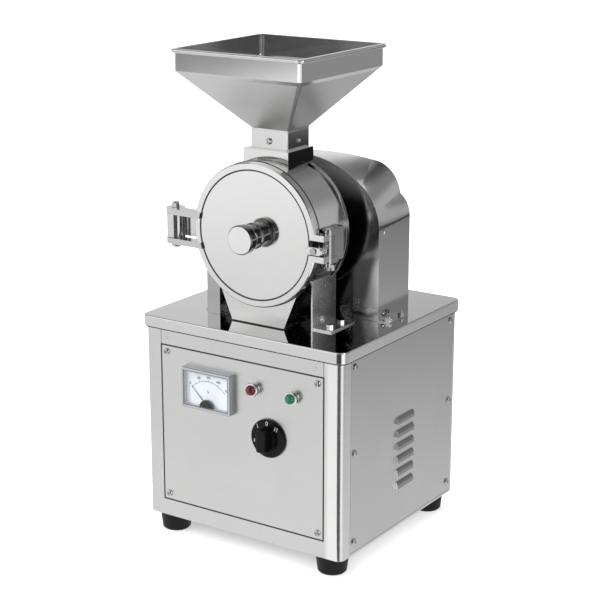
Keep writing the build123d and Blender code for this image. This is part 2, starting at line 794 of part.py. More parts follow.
def make_neck_screws():
    """Two screws that clamp the hopper neck on its spigot: a large one in front, a small one at the side."""
    front = neck_y - neck_half_y
    dome = [(0, -3.2), (2.6, -2.7), (neck_screw_radius, -0.9), (neck_screw_radius, 0), (2, 0), (2, 1.5), (0, 1.5)]
    big = turned_y([(r, front + y) for r, y in dome], 0, neck_screw_z)
    big -= block(-0.5, 0.5, front - 4, front - 2.2, neck_screw_z - 5, neck_screw_z + 5)
    small = turned_y([(r * 0.62, y * 0.8) for r, y in dome], 0, 0)
    return [big, Pos(neck_half_x, neck_y, neck_screw_z) * Rot(0, 0, 90) * small]


def make_liner():
    """Two toothed liner segments in the upper half of the drum, one each side of the feed."""
    crest = chamber_bore - liner_depth
    count = 360 // liner_pitch
    points = []
    for index in range(2 * count):
        radius = crest if index % 2 else crest + liner_tooth
        angle = radians(index * liner_pitch / 2)
        points.append((radius * cos(angle), radius * sin(angle)))
    ring = Circle(chamber_bore) - Polygon(*points, align=None)
    ring -= Pos(0, -chamber_bore - 8) * Rectangle(3 * chamber_bore, 2 * chamber_bore)
    ring -= Pos(0, chamber_bore) * Rectangle(2 * feed_half_x + 2, chamber_bore)
    pieces = Pos(0, 0, axis_z) * prism_y(ring, chamber_front + 2, chamber_back - chamber_wall)
    return list(pieces.solids())


def make_screen():
    """The slotted screen in the lower half of the drum."""
    ring = Circle(chamber_bore) - Circle(chamber_bore - screen_sheet)
    ring &= Pos(0, -chamber_bore - 8.5) * Rectangle(3 * chamber_bore, 2 * chamber_bore)
    screen = Pos(0, 0, axis_z) * prism_y(ring, chamber_front + 2, chamber_back - chamber_wall)
    y0 = chamber_front + 12
    y1 = chamber_back - chamber_wall - 10
    for angle in range(206, 335, screen_pitch):
        slot = block(chamber_bore - 4, chamber_bore + 4, y0, y1, -screen_slot / 2, screen_slot / 2)
        screen -= Pos(0, 0, axis_z) * Rot(0, -angle, 0) * slot
    return screen


# ================================================================ spindle and rotor
barrel_front = chamber_back - chamber_wall


def make_bearing_housing():
    """The flanged cartridge that carries the spindle on the back of the drum."""
    flange = barrel_radius + barrel_flange_lap
    outline = [(spindle_radius + 1, barrel_front), (barrel_radius - 4, barrel_front), (barrel_radius - 4, chamber_back),
               (flange, chamber_back), (flange, chamber_back + barrel_flange),
               (barrel_radius, chamber_back + barrel_flange), (barrel_radius, barrel_back),
               (bearing_radius, barrel_back), (bearing_radius, chamber_back + 2), (spindle_radius + 1, chamber_back + 2)]
    return turned_y(outline, 0, axis_z)


def make_bearings():
    """Two ball bearings, each as one closed ring."""
    rings = []
    for y in (chamber_back + 2, barrel_back - bearing_width):
        ring = rod_y(0, y, y + bearing_width, axis_z, bearing_radius)
        rings.append(ring - rod_y(0, y - 1, y + bearing_width + 1, axis_z, spindle_radius + running))
    return rings


def make_spindle():
    """The spindle, with its smaller end for the rotor nut."""
    end = rotor_front - 9
    outline = [(0, end), (5, end), (6, end + 1), (6, rotor_front), (spindle_radius, rotor_front),
               (spindle_radius, pulley_front + pulley_width + 3), (0, pulley_front + pulley_width + 3)]
    return turned_y(outline, 0, axis_z)


def make_rotor_nut():
    """The nut that holds the rotor on the spindle."""
    nut = Pos(0, 0, axis_z) * prism_y(RegularPolygon(11, 6), rotor_front - 7, rotor_front)
    return nut - rod_y(0, rotor_front - 8, rotor_front + 1, axis_z, 6)


def make_rotor():
    """The rotor: a hub with the disc that the beaters straddle."""
    y0 = rotor_mid_y - rotor_disc_thick / 2
    y1 = rotor_mid_y + rotor_disc_thick / 2
    outline = [(spindle_radius, rotor_front), (rotor_hub_radius - 2, rotor_front), (rotor_hub_radius, rotor_front + 3),
               (rotor_hub_radius, y0), (rotor_disc_radius, y0), (rotor_disc_radius, y1), (rotor_hub_radius, y1),
               (rotor_hub_radius, rotor_back), (spindle_radius, rotor_back)]
    return turned_y(outline, 0, axis_z)


def make_beaters():
    """Six forged beaters, each notched over the rotor disc and raked at its tip."""
    half = beater_thick / 2
    outline = Polygon((beater_inner, -half), (beater_outer - 3, -half), (beater_outer, -half + 2),
                      (beater_outer, half), (beater_inner, half), align=None)
    beater = Pos(0, 0, axis_z) * prism_y(outline, rotor_front + 1, rotor_back - 1)
    disc = rod_y(0, rotor_mid_y - rotor_disc_thick / 2, rotor_mid_y + rotor_disc_thick / 2, axis_z, rotor_disc_radius)
    beater -= disc
    centre = Pos(0, 0, axis_z)
    return [centre * Rot(0, 360 / beater_count * index, 0) * centre.inverse() * beater
            for index in range(beater_count)]


def pulley_outline(radius, bore):
    """Half section of a one-groove V pulley as (radius, y) points."""
    y0 = pulley_front
    y1 = pulley_front + pulley_width
    middle = pulley_front + pulley_width / 2
    return [(bore, y0), (radius, y0), (radius, middle - 6), (radius - 9, middle - 2.8), (radius - 9, middle + 2.8),
            (radius, middle + 6), (radius, y1), (bore, y1)]


def belt_loop(low_radius, high_radius):
    """The flat loop around both pulleys: two arcs joined by their common tangents."""
    span = axis_z - motor_z
    lean = acos((low_radius - high_radius) / span)
    low = [(side * low_radius * sin(lean), motor_z + low_radius * cos(lean)) for side in (-1, 1)]
    high = [(side * high_radius * sin(lean), axis_z + high_radius * cos(lean)) for side in (-1, 1)]
    return make_face([Line(low[0], high[0]), ThreePointArc(high[0], (0, axis_z + high_radius), high[1]),
                      Line(high[1], low[1]), ThreePointArc(low[1], (0, motor_z - low_radius), low[0])])


def make_belt():
    """The V belt, a closed loop that stands clear of both grooves."""
    middle = pulley_front + pulley_width / 2
    half_top = 5.3
    half_bottom = 2.9
    back = 1.0
    depth = 6.5
    low = motor_pulley_radius - back
    high = spindle_pulley_radius - back
    belt = prism_y(belt_loop(low, high), middle - half_top, middle + half_top)
    inner = belt_loop(low - depth, high - depth)
    outer = belt_loop(low - 0.8, high - 0.8)
    belt -= prism_y(inner, middle - half_bottom, middle + half_bottom)

    def at(sketch, y):
        return (Plane((0, y, 0), x_dir=(1, 0, 0), z_dir=(0, -1, 0)) * sketch).faces()[0]

    for side in (-1, 1):
        belt -= loft([at(inner, middle + side * half_bottom), at(outer, middle + side * half_top)])
    return belt


# ================================================================ motor
motor_base_half = motor_radius + motor_base_side
motor_base_y0 = motor_front + motor_base_inset
motor_base_y1 = motor_back - motor_base_inset
motor_base_top = foot_height + sheet + motor_base_thick
motor_bolt_spots = [(side * (motor_base_half - motor_bolt_inset), y) for side in (-1, 1)
                    for y in (motor_base_y0 + motor_bolt_inset, motor_base_y1 - motor_bolt_inset)]


def make_motor():
    """The motor: end bells, a ribbed body and the bearing nose at the pulley's side."""
    bore = motor_shaft_radius + running
    front = motor_front + motor_end_bell
    back = motor_back - motor_end_bell
    outline = [(bore, motor_front), (motor_nose_radius, motor_front), (motor_nose_radius, motor_front + motor_nose),
               (motor_radius - motor_end_bell, front), (motor_radius, front + motor_bell_edge),
               (motor_radius, back - motor_bell_edge), (motor_radius - motor_bell_edge, motor_back),
               (motor_rear_nose, motor_back), (motor_rear_nose, motor_back - motor_shaft_end),
               (bore, motor_back - motor_shaft_end)]
    body = turned_y(outline, 0, motor_z)
    half = motor_rib_thick / 2
    for angle in range(30, 151, 20):
        rib = block(motor_radius - half, motor_radius + motor_rib_height, motor_front + motor_rib_inset,
                    motor_back - motor_rib_inset, -half, half)
        body += Pos(0, 0, motor_z) * Rot(0, -angle, 0) * rib
    return body


def make_motor_base():
    """The motor cradle on the cabinet floor."""
    floor = foot_height + sheet
    base = block(-motor_base_half, motor_base_half, motor_base_y0, motor_base_y1, floor, motor_base_top)
    for side in (-1, 1):
        edges = sorted((side * cradle_inner, side * (cradle_inner + cradle_wall)))
        base += block(edges[0], edges[1], motor_base_y0 + cradle_inset, motor_base_y1 - cradle_inset, floor,
                      motor_z - cradle_drop)
    base -= rod_y(0, motor_front, motor_back, motor_z, motor_radius)
    hole = bracket_bolt_radius + hole_play
    return bored(base, [rod_z(x, y, floor - 1, motor_base_top + 1, hole) for x, y in motor_bolt_spots])


def make_motor_bolts():
    """Four bolts down through the cradle and the cabinet floor, with nuts below."""
    bolts = []
    for x, y in motor_bolt_spots:
        head = prism_z(RegularPolygon(bolt_head_radius, 6), motor_base_top, motor_base_top + bolt_head_height)
        nut = prism_z(RegularPolygon(nut_radius, 6), foot_height - nut_height, foot_height)
        shank = rod_z(0, 0, foot_height - nut_height - bolt_tail, motor_base_top + 1, bracket_bolt_radius)
        bolts.append(Pos(x, y) * (head + nut + shank))
    return bolts


def make_motor_shaft():
    """The motor's shaft."""
    return rod_y(0, pulley_front - hinge_pin_tail, motor_back - motor_shaft_end, motor_z, motor_shaft_radius)


# ================================================================ belt guard
def guard_section(y, half, side_z, fold, fold_bow, crown, crown_bow, apex):
    """One upright section of the guard: straight sides, two shoulder arcs that meet in a fold, a crown."""
    def at(side, spot):
        return (side * spot[0], y, spot[1])

    def bowed(side, low, high, bow):
        run = sqrt((high[0] - low[0]) ** 2 + (high[1] - low[1]) ** 2)
        out_x = bow * (high[1] - low[1]) / run
        out_z = bow * (low[0] - high[0]) / run
        middle = ((low[0] + high[0]) / 2 + out_x, (low[1] + high[1]) / 2 + out_z)
        return ThreePointArc(at(side, low), at(side, middle), at(side, high))

    foot = (half, lid_top)
    top = (half, side_z)
    edges = [Line(at(-1, foot), at(1, foot)), Line(at(1, foot), at(1, top))]
    edges += [bowed(1, top, fold, fold_bow), bowed(1, fold, crown, crown_bow)]
    edges.append(ThreePointArc(at(1, crown), (0, y, apex), at(-1, crown)))
    edges += [bowed(-1, fold, crown, crown_bow), bowed(-1, top, fold, fold_bow)]
    edges.append(Line(at(-1, top), at(-1, foot)))
    return make_face(edges).faces()[0]


def guard_front_section(inset, y):
    """The front section: the crown runs smoothly into large round shoulders."""
    half = guard_half - inset
    radius = guard_shoulder - inset
    apex = guard_apex - inset
    centre_x = half - radius
    lift = apex - radius - guard_shoulder_z
    depth = (centre_x ** 2 - lift ** 2) / (2 * lift)
    fold_turn = radians(guard_fold_angle)
    crown_turn = acos(centre_x / sqrt(centre_x ** 2 + depth ** 2))
    fold = (centre_x + radius * cos(fold_turn), guard_shoulder_z + radius * sin(fold_turn))
    crown = (centre_x + radius * cos(crown_turn), guard_shoulder_z + radius * sin(crown_turn))
    fold_bow = radius * (1 - cos(fold_turn / 2))
    crown_bow = radius * (1 - cos((crown_turn - fold_turn) / 2))
    return guard_section(y, half, guard_shoulder_z, fold, fold_bow, crown, crown_bow, apex)


def guard_rear_section(inset, y):
    """The rear section: lower, with the shoulders stepped out below a kink."""
    half = guard_half - inset
    side_z = guard_shoulder_z + guard_rear_side_rise
    apex = guard_apex - guard_rear_drop - inset
    kink = (half - guard_kink_inset, side_z + guard_kink_rise - inset)
    crown = (guard_rear_crown, apex - guard_rear_crown_drop)
    return guard_section(y, half, side_z, kink, guard_kink_bow, crown, guard_rear_bow, apex)


def guard_solid(inset):
    """The guard as a full body, drawn in by an inset on every side but the foot."""
    front = guard_front_section(inset, guard_front + inset)
    rear = guard_rear_section(inset, guard_back - inset)
    return loft([front, rear], ruled=True)


guard_foot_bolt_spots = [(side * (guard_half + guard_foot_bolt_in), guard_front + run)
                         for side in (-1, 1) for run in guard_foot_bolts]


def make_guard():
    """The sheet guard, open below, with a foot on each side and a hole for the bearing barrel."""
    shell = guard_solid(0) - guard_solid(guard_sheet)
    shell -= block(-guard_half + guard_sheet, guard_half - guard_sheet, guard_front + guard_sheet,
                   guard_back - guard_sheet, lid_top - 1, lid_top + 2 * guard_sheet)
    reach = guard_half + guard_foot_width
    for side in (-1, 1):
        inner = side * (guard_half - guard_sheet / 2)
        shell += block(min(inner, side * reach), max(inner, side * reach), guard_front,
                       guard_front + guard_foot_length, lid_top, lid_top + guard_sheet)
    for x, y in guard_foot_bolt_spots:
        shell -= rod_z(x, y, lid_top - 1, lid_top + guard_sheet + 1, bracket_bolt_radius + hole_play)
    return shell - rod_y(0, guard_front - 1, guard_front + guard_sheet + 1, axis_z, barrel_radius + 0.5)


guard_screw_spots = [(guard_front + 12.5, lid_top + 7.5), (guard_front + 12.5, axis_z - 3)]


def make_guard_screws():
    """Small pan screws through the sides of the guard, and the bolts of its feet with domed nuts."""
    screws = []
    profile = [(0, 2.2), (1.8, 2.0), (3.4, 0.9), (3.4, 0), (1.6, 0), (1.6, -guard_sheet - 2), (0, -guard_sheet - 2)]
    screw = turned_z(profile, 0, 0)
    for y, z in guard_screw_spots:
        screws.append(Pos(guard_half, y, z) * Rot(0, 90, 0) * screw)
        screws.append(Pos(-guard_half, y, z) * Rot(0, -90, 0) * screw)
    top = lid_top + guard_sheet
    for x, y in guard_foot_bolt_spots:
        nut = prism_z(RegularPolygon(nut_radius, 6), top, top + nut_height)
        nut += rod_z(0, 0, wall_top - nut_height, top + nut_height + 2, bracket_bolt_radius)
        nut += prism_z(RegularPolygon(nut_radius, 6), wall_top - nut_height + 0.5, wall_top)
        screws.append(Pos(x, y) * nut)
    return screws


def drill_guard(guard):
    """The guard with the holes of its screws."""
    for y, z in guard_screw_spots:
        guard -= rod_x(guard_half - 5, guard_half + 1, y, z, 1.6)
        guard -= rod_x(-guard_half - 1, -guard_half + 5, y, z, 1.6)
    return guard


# ================================================================ stand, chute and drawer
def make_bracket(side):
    """A bent support: an upright plate with an out-turned foot; the left one also has a front flange."""
    front = left_flange_front if side < 0 else bracket_front
    plate = block(bracket_x, bracket_x + bracket_sheet, front, bracket_back, lid_top, axis_z - 30)
    foot = block(bracket_x, bracket_x + bracket_foot, bracket_front, bracket_back, lid_top, lid_top + bracket_sheet)
    piece = plate + foot
    if side < 0:
        piece += block(bracket_x, bracket_x + left_flange_width, front, front + bracket_sheet,
                       lid_top, left_flange_top)
    piece -= saddle()
    piece -= rod_x(bracket_x - 1, bracket_x + bracket_sheet + 1, (bracket_front + bracket_back) / 2, lid_top + 51, 2)
    for y in bracket_bolt_ys:
        piece -= rod_z(bracket_bolt_x, y, lid_top - 1, lid_top + bracket_sheet + 1, bracket_bolt_radius + hole_play)
    piece = piece.solids().sort_by(SortBy.VOLUME)[-1]
    return piece if side > 0 else mirror(piece, Plane.YZ)


def make_bracket_bolts():
    """Four bolts through the bracket feet and the lid, with nuts below."""
    bolts = []
    top = lid_top + bracket_sheet
    for side in (-1, 1):
        for y in bracket_bolt_ys:
            spot = Pos(side * bracket_bolt_x, y)
            head = prism_z(RegularPolygon(bolt_head_radius, 6), top, top + bolt_head_height)
            nut = prism_z(RegularPolygon(nut_radius, 6), wall_top - nut_height, wall_top)
            shank = rod_z(0, 0, wall_top - nut_height - bolt_tail, top + 1, bracket_bolt_radius)
            bolts.append(spot * (head + nut + shank))
    return bolts


def make_chute():
    """The flared chute below the drum and the duct that leads through the lid into the drawer."""
    def flank(inset, low, high):
        bottom = chute_half_bottom - inset
        top = bottom + chute_flare * chute_rise
        return Polygon((-bottom, low), (bottom, low), (top, high), (-top, high), align=None)

    top = lid_top + chute_rise
    box = prism_y(flank(0, lid_top, top), chute_front, chute_back)
    box -= prism_y(flank(sheet, lid_top + sheet, top + 0.001), chute_front + sheet, chute_back - sheet)
    box -= saddle()
    box -= rod_y(0, chute_front - 1, door_back + chute_door_gap, axis_z, door_radius + chute_door_gap)
    duct = block(-chute_duct_half, chute_duct_half, chute_front + 4, chute_back - 4, lid_top - chute_duct_drop, lid_top + sheet)
    bore = block(-chute_duct_half + sheet, chute_duct_half - sheet, chute_front + 4 + sheet, chute_back - 4 - sheet,
                 lid_top - chute_duct_drop - 1, lid_top + sheet + 1)
    return (box + duct) - bore


def make_drawer():
    """The sample drawer: an open tray with a front plate and a pull, sliding out to the left."""
    x0 = -half_w - touch
    face = x0 - sheet
    tray = block(x0, x0 + drawer_length, drawer_front_y, drawer_back_y, drawer_low, drawer_high)
    tray -= block(x0 + drawer_sheet, x0 + drawer_length - drawer_sheet, drawer_front_y + drawer_sheet,
                  drawer_back_y - drawer_sheet, drawer_low + drawer_sheet, drawer_high + 1)
    lap = drawer_front_lap
    plate = block(face, x0, drawer_front_y - lap, drawer_back_y + lap, drawer_low - lap, drawer_high + lap)
    middle_y = (drawer_front_y + drawer_back_y) / 2
    middle_z = (drawer_low + drawer_high) / 2
    tall = drawer_pull_height / 2
    wide = drawer_pull_half - drawer_pull_bar
    handle = block(face - drawer_pull_reach, face, middle_y - drawer_pull_half, middle_y + drawer_pull_half,
                   middle_z - tall, middle_z + tall)
    handle -= block(face - drawer_pull_reach + drawer_pull_bar, face, middle_y - wide, middle_y + wide,
                    middle_z - tall - 1, middle_z + tall + 1)
    return tray + plate + handle


def make_drawer_guides():
    """Two angle rails that carry the drawer, fixed to the left panel."""
    rails = []
    x0 = -half_w + sheet
    x1 = x0 + drawer_length
    low = drawer_low - touch - guide_sheet
    for side, y in ((-1, drawer_front_y), (1, drawer_back_y)):
        far = y + side * (touch + guide_sheet)
        web = sorted((y + side * touch, far))
        shelf = sorted((y - side * guide_shelf, far))
        rail = block(x0, x1, web[0], web[1], low, drawer_low + guide_height)
        rail += block(x0, x1, shelf[0], shelf[1], low, drawer_low - touch)
        rails.append(rail)
    return rails


# ================================================================ door, hinge and latch
side_z = axis_z - side_drop
ledge = door_front + door_plate_inset + door_plate_thick
fork_slot = latch_x - bar_length / 2 - 1.5


def make_door_ring():
    """The door's rim with its inner ledge, and the forked lug that the swing bolt drops into."""
    outline = [(door_groove_radius, door_front), (door_radius - 1.5, door_front), (door_radius, door_front + 1.5),
               (door_radius, door_back), (ledge_radius, door_back), (ledge_radius, ledge), (door_groove_radius, ledge)]
    ring = turned_y(outline, 0, axis_z)
    outer = fork_gap + fork_prong
    lug = block(door_groove_radius - 1, fork_reach, door_front, door_back, side_z - outer, side_z + outer)
    lug -= rod_y(0, door_front - 1, door_back + 1, axis_z, door_groove_radius + 0.01)
    ring += lug
    return ring - block(fork_slot, fork_reach + 1, door_front - 1, door_back + 1, side_z - fork_gap, side_z + fork_gap)


def make_door_plate():
    """The round door plate in the ledge of the rim."""
    front = door_front + door_plate_inset
    outline = [(0, front), (door_groove_radius - 0.9, front), (door_groove_radius - 0.5, front + 0.4),
               (door_groove_radius - 0.5, ledge), (0, ledge)]
    return turned_y(outline, 0, axis_z)


def make_gasket():
    """The flat rubber ring on the back of the rim, which faces the drum."""
    ring = rod_y(0, door_back, door_back + gasket_thick, axis_z, gasket_outer)
    return ring - rod_y(0, door_back - 1, door_back + gasket_thick + 1, axis_z, gasket_inner)


def make_door_knob():
    """The turned pull in the middle of the door."""
    base = door_front + door_plate_inset
    tip = base - knob_length
    outline = [(0, tip), (knob_radius - 1.5, tip), (knob_radius, tip + 1.5), (knob_radius, tip + 10),
               (knob_radius - 1.5, tip + 11.5), (knob_neck, tip + 12), (knob_neck, tip + 14), (knob_neck - 1, tip + 14.5),
               (knob_neck - 1, tip + 16), (knob_neck, tip + 16.5), (knob_neck, base - 4), (knob_neck + 1.5, base - 2),
               (knob_neck + 1.5, base), (0, base)]
    return turned_y(outline, 0, axis_z)


def make_hinge_straps():
    """Two straps from the pin to the door's rim, each lapping over the rim's front."""
    straps = []
    front = door_front - strap_tongue
    for side in (-1, 1):
        z0 = side_z + side * strap_spacing - strap_thick / 2
        z1 = z0 + strap_thick
        reach = -sqrt(door_groove_radius ** 2 - (strap_spacing + strap_thick) ** 2)
        bar = block(hinge_x, reach, front, door_back, z0, z1)
        bar += rod_z(hinge_x, hinge_y, z0, z1, strap_end_radius)
        bar -= rod_y(0, door_front, door_back + 1, axis_z, door_radius)
        bar -= rod_y(0, door_front - 5, door_back + 1, axis_z, door_groove_radius)
        bar -= rod_z(hinge_x, hinge_y, z0 - 1, z1 + 1, hinge_pin_radius + running)
        straps.append(bar.solids().sort_by(SortBy.VOLUME)[-1])
    return straps


knuckle_half = strap_spacing - strap_thick / 2 - touch
arm_front = door_back + hinge_arm_gap
arm_back = arm_front + hinge_arm_thick


def make_hinge_bracket():
    """The knuckle between the straps, on an arm that is welded to the drum behind the door."""
    low = side_z - knuckle_half
    high = side_z + knuckle_half
    piece = rod_z(hinge_x, hinge_y, low, high, hinge_knuckle_radius)
    piece += block(hinge_x, -chamber_radius + hinge_arm_lap, arm_front, arm_back, low + hinge_arm_inset,
                   high - hinge_arm_inset)
    piece += block(hinge_x - hinge_web_left, hinge_x + hinge_web_right, hinge_y, arm_back, low + hinge_arm_inset,
                   high - hinge_arm_inset)
    piece -= rod_y(0, chamber_front, chamber_back, axis_z, chamber_radius)
    return piece - rod_z(hinge_x, hinge_y, low - 1, high + 1, hinge_pin_radius)


def make_hinge_pin():
    """The pin with a hexagon nut above and a round head below."""
    top = side_z + strap_spacing + strap_thick / 2 + touch
    low = side_z - strap_spacing - strap_thick / 2 - touch
    pin = rod_z(hinge_x, hinge_y, low - 1, top + hinge_nut_height + hinge_pin_tail, hinge_pin_radius)
    nut = Pos(hinge_x, hinge_y) * prism_z(RegularPolygon(hinge_nut_radius, 6), top, top + hinge_nut_height)
    edge = hinge_head_height / 3
    head = turned_z([(0, low - hinge_head_height), (hinge_head_radius - edge, low - hinge_head_height),
                     (hinge_head_radius, low - 2 * edge), (hinge_head_radius, low), (0, low)], hinge_x, hinge_y)
    return pin + nut + head


ear_half = latch_eye_half + touch
ear_outer = ear_half + latch_ear_thick


def make_latch_bracket():
    """The block on the drum's right side, with two ears that hold the swing bolt's eye."""
    root_y = latch_y + latch_ear_radius + 0.8
    body = block(chamber_radius - 6, latch_x + 3, root_y, root_y + 22, side_z - ear_outer, side_z + ear_outer)
    for z0 in (side_z - ear_outer, side_z + ear_half):
        ear = rod_z(latch_x, latch_y, z0, z0 + latch_ear_thick, latch_ear_radius)
        ear += block(latch_x - latch_ear_radius, latch_x + latch_ear_radius, latch_y, root_y + 3, z0, z0 + latch_ear_thick)
        body += ear
    body -= rod_y(0, chamber_front, chamber_back, axis_z, chamber_radius)
    return body - rod_z(latch_x, latch_y, side_z - 40, side_z + 40, latch_pin_radius)


def make_latch_pin():
    """The latch's pin: a domed head above, a wing nut below."""
    top = side_z + ear_outer
    low = side_z - ear_outer
    outline = [(0, top + 3.5), (3, top + 3), (5, top + 1), (5, top), (latch_pin_radius, top),
               (latch_pin_radius, low - 10), (0, low - 10)]
    pin = turned_z(outline, latch_x, latch_y)
    wings = block(latch_x - 9, latch_x + 9, latch_y - 1.2, latch_y + 1.2, low - 9, low - 2)
    wings -= block(latch_x - 5.5, latch_x + 5.5, latch_y - 2, latch_y + 2, low - 10, low - 6)
    return pin + rod_z(latch_x, latch_y, low - 5, low, 5.2) + wings


bar_back = door_front - touch
bar_front = bar_back - bar_thick


def make_swing_bolt():
    """The swing bolt: an eye on the pin and a shank through the fork."""
    eye = rod_z(latch_x, latch_y, side_z - latch_eye_half, side_z + latch_eye_half, latch_eye_radius)
    shank = rod_y(latch_x, bar_front - bolt_tip, latch_y - latch_eye_radius + 3, side_z, bolt_radius)
    return (eye + shank) - rod_z(latch_x, latch_y, side_z - 20, side_z + 20, latch_pin_radius + running)


def make_bar_nut():
    """The bar nut on the swing bolt, lying level, so that it passes through the open fork."""
    bar = Pos(latch_x, side_z) * SlotOverall(bar_length, bar_height)
    bar = prism_y(bar, bar_front, bar_back)
    bar = chamfer(bar.faces().sort_by(Axis.Y)[0].edges(), 0.8)
    return bar - rod_y(latch_x, bar_front - 1, bar_back + 1, side_z, bolt_radius + running)


# ================================================================ write every node
def main():
    """Build and write the nodes one by one."""
    save("cabinet_frame", make_cabinet_frame())
    save("bottom_plate", make_bottom_plate())
    save("cabinet_lid", make_lid())
    save("rubber_feet", make_feet())
    save("foot_screws", make_foot_screws())
    save("front_panel", make_front_panel())
    save("right_side_panel", make_side_panel(1))
    save("left_side_panel", make_side_panel(-1))
    save("rear_panel", make_rear_panel())
    save("panel_screws", make_panel_screws())
    save("meter_case", make_meter_case())
    save("meter_dial", make_meter_dial())
    save("meter_window", make_meter_window())
    save("meter_needle", make_needle())
    save("meter_cover", make_meter_cover())
    save("lamp_bezels", make_lamp_bezels())
    save("red_lens", make_lens(lamp_red_x))
    save("green_lens", make_lens(lamp_green_x))
    save("switch_plate", make_switch_plate())
    save("switch_knob", make_switch_knob())
    save("switch_body", make_switch_body())
    save("cable_gland", make_gland())
    save("motor", make_motor())
    save("motor_shaft", make_motor_shaft())
    save("motor_pulley", turned_y(pulley_outline(motor_pulley_radius, motor_shaft_radius), 0, motor_z))
    save("motor_base", make_motor_base())
    save("motor_bolts", make_motor_bolts())
    save("v_belt", make_belt())
    save("spindle_shaft", make_spindle())
    save("spindle_pulley", turned_y(pulley_outline(spindle_pulley_radius, spindle_radius), 0, axis_z))
    save("bearing_housing", make_bearing_housing())
    save("spindle_bearings", make_bearings())
    save("rotor", make_rotor())
    save("beater_plates", make_beaters())
    save("rotor_nut", make_rotor_nut())
    save("screen_ring", make_screen())
    save("toothed_liner", make_liner())
    save("chamber_housing", make_chamber_housing())
    save("throat_block", make_throat_block())
    save("hopper", make_hopper())
    save("neck_screws", make_neck_screws())
    save("left_bracket", make_bracket(-1))
    save("right_bracket", make_bracket(1))
    save("bracket_bolts", make_bracket_bolts())
    save("discharge_chute", make_chute())
    save("belt_guard", drill_guard(make_guard()))
    save("guard_screws", make_guard_screws())
    save("door_ring", make_door_ring())
    save("door_plate", make_door_plate())
    save("door_gasket", make_gasket())
    save("door_knob", make_door_knob())
    save("hinge_straps", make_hinge_straps())
    save("hinge_bracket", make_hinge_bracket())
    save("hinge_pin", make_hinge_pin())
    save("latch_bracket", make_latch_bracket())
    save("latch_pin", make_latch_pin())
    save("swing_bolt", make_swing_bolt())
    save("bar_nut", make_bar_nut())
    save("sample_drawer", make_drawer())
    save("drawer_guides", make_drawer_guides())


main()
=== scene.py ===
# %% [markdown]
# A bench laboratory mill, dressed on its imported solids. The solids already hold every real shape, so this
# lesson is mostly about metal: how one grey colour turns into sheet, turned and polished steel through
# roughness, grain and what it mirrors. Everything is in metres, and the front of the mill faces -Y.

# %% The frame
import json
from math import cos, pi, radians, sin
import bpy
import bmesh
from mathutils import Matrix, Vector


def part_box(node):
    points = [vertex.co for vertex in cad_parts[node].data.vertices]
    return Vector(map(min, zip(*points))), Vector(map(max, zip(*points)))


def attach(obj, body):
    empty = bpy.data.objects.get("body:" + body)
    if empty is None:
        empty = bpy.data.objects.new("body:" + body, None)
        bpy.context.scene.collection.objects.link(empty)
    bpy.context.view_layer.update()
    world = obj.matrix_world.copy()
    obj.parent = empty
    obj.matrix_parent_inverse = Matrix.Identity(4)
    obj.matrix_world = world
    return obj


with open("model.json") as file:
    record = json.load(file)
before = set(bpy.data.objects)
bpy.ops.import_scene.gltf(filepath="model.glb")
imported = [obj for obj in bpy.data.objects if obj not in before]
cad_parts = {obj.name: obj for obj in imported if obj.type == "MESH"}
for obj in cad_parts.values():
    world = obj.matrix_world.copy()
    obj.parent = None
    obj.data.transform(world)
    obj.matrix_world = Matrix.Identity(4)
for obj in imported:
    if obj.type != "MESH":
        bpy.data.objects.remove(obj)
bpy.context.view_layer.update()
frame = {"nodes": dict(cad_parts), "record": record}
nodes = frame["nodes"]
scene = bpy.context.scene

# %% [markdown]
# The camera stands to the right of the front and higher than the hopper, with a long lens, so that upright
# edges stay nearly parallel. A long lens far away shows a machine the way a catalogue does.

# %% The camera
LOOK_DOWN, LOOK_LEFT = 0.2775, 0.5900  # radians
camera_data = bpy.data.cameras.new("catalogue_camera")
camera_data.sensor_width = 36.0
camera_data.lens = 97.49
camera_data.clip_end = 60.0
camera = bpy.data.objects.new("catalogue_camera", camera_data)
scene.collection.objects.link(camera)
camera.location = (1.1283, -1.6942, 0.8838)
camera.rotation_euler = (pi / 2 - LOOK_DOWN, 0.0, LOOK_LEFT)
scene.camera = camera
scene.view_settings.view_transform = "Standard"
print("camera at", [round(v, 3) for v in camera.location])

# %% [markdown]
# The room, the floor and every finish are node trees. A few helpers write them like sums: each input takes a
# plain value or the output of another node, and what comes back is an output to go on with.

# %% Helpers for node trees
def feed(tree, socket, value):
    """Give an input a plain value, or join an output to it."""
    if isinstance(value, bpy.types.NodeSocket):
        tree.links.new(value, socket)
    else:
        socket.default_value = value


def wire(tree, node, inputs):
    """Feed the inputs of a node by their names."""
    for name, value in inputs.items():
        feed(tree, node.inputs[name], value)
    return node


def add(tree, kind, x=0, y=0, **values):
    """A new node; each value is a property of it or one of its inputs."""
    node = tree.nodes.new(kind)
    node.location = (x, y)
    for key, value in values.items():
        if hasattr(node, key):
            setattr(node, key, value)
        else:
            wire(tree, node, {key: value})
    return node


def maths(tree, operation, *inputs, x=0, y=0, clamp=False):
    """The result of a Math node."""
    node = add(tree, "ShaderNodeMath", x, y, operation=operation, use_clamp=clamp)
    for socket, value in zip(node.inputs, inputs):
        feed(tree, socket, value)
    return node.outputs[0]


def vectors(tree, operation, *inputs, x=0, y=0):
    """The result of a Vector Math node: a number for a dot product or a length, else a vector."""
    node = add(tree, "ShaderNodeVectorMath", x, y, operation=operation)
    for socket, value in zip(node.inputs, inputs):
        feed(tree, socket, value)
    return node.outputs["Value" if operation in ("DOT_PRODUCT", "LENGTH") else "Vector"]


print("helpers for numbers and vectors")

# %% [markdown]
# Three more nodes come back again and again: a range that is stretched to another one, a mix of two colours,
# and a ramp, which turns a number into a grey by a list of stops.

# %% Helpers for ranges and colours
def grey(value):
    """One grey as a colour."""
    return (value, value, value, 1)


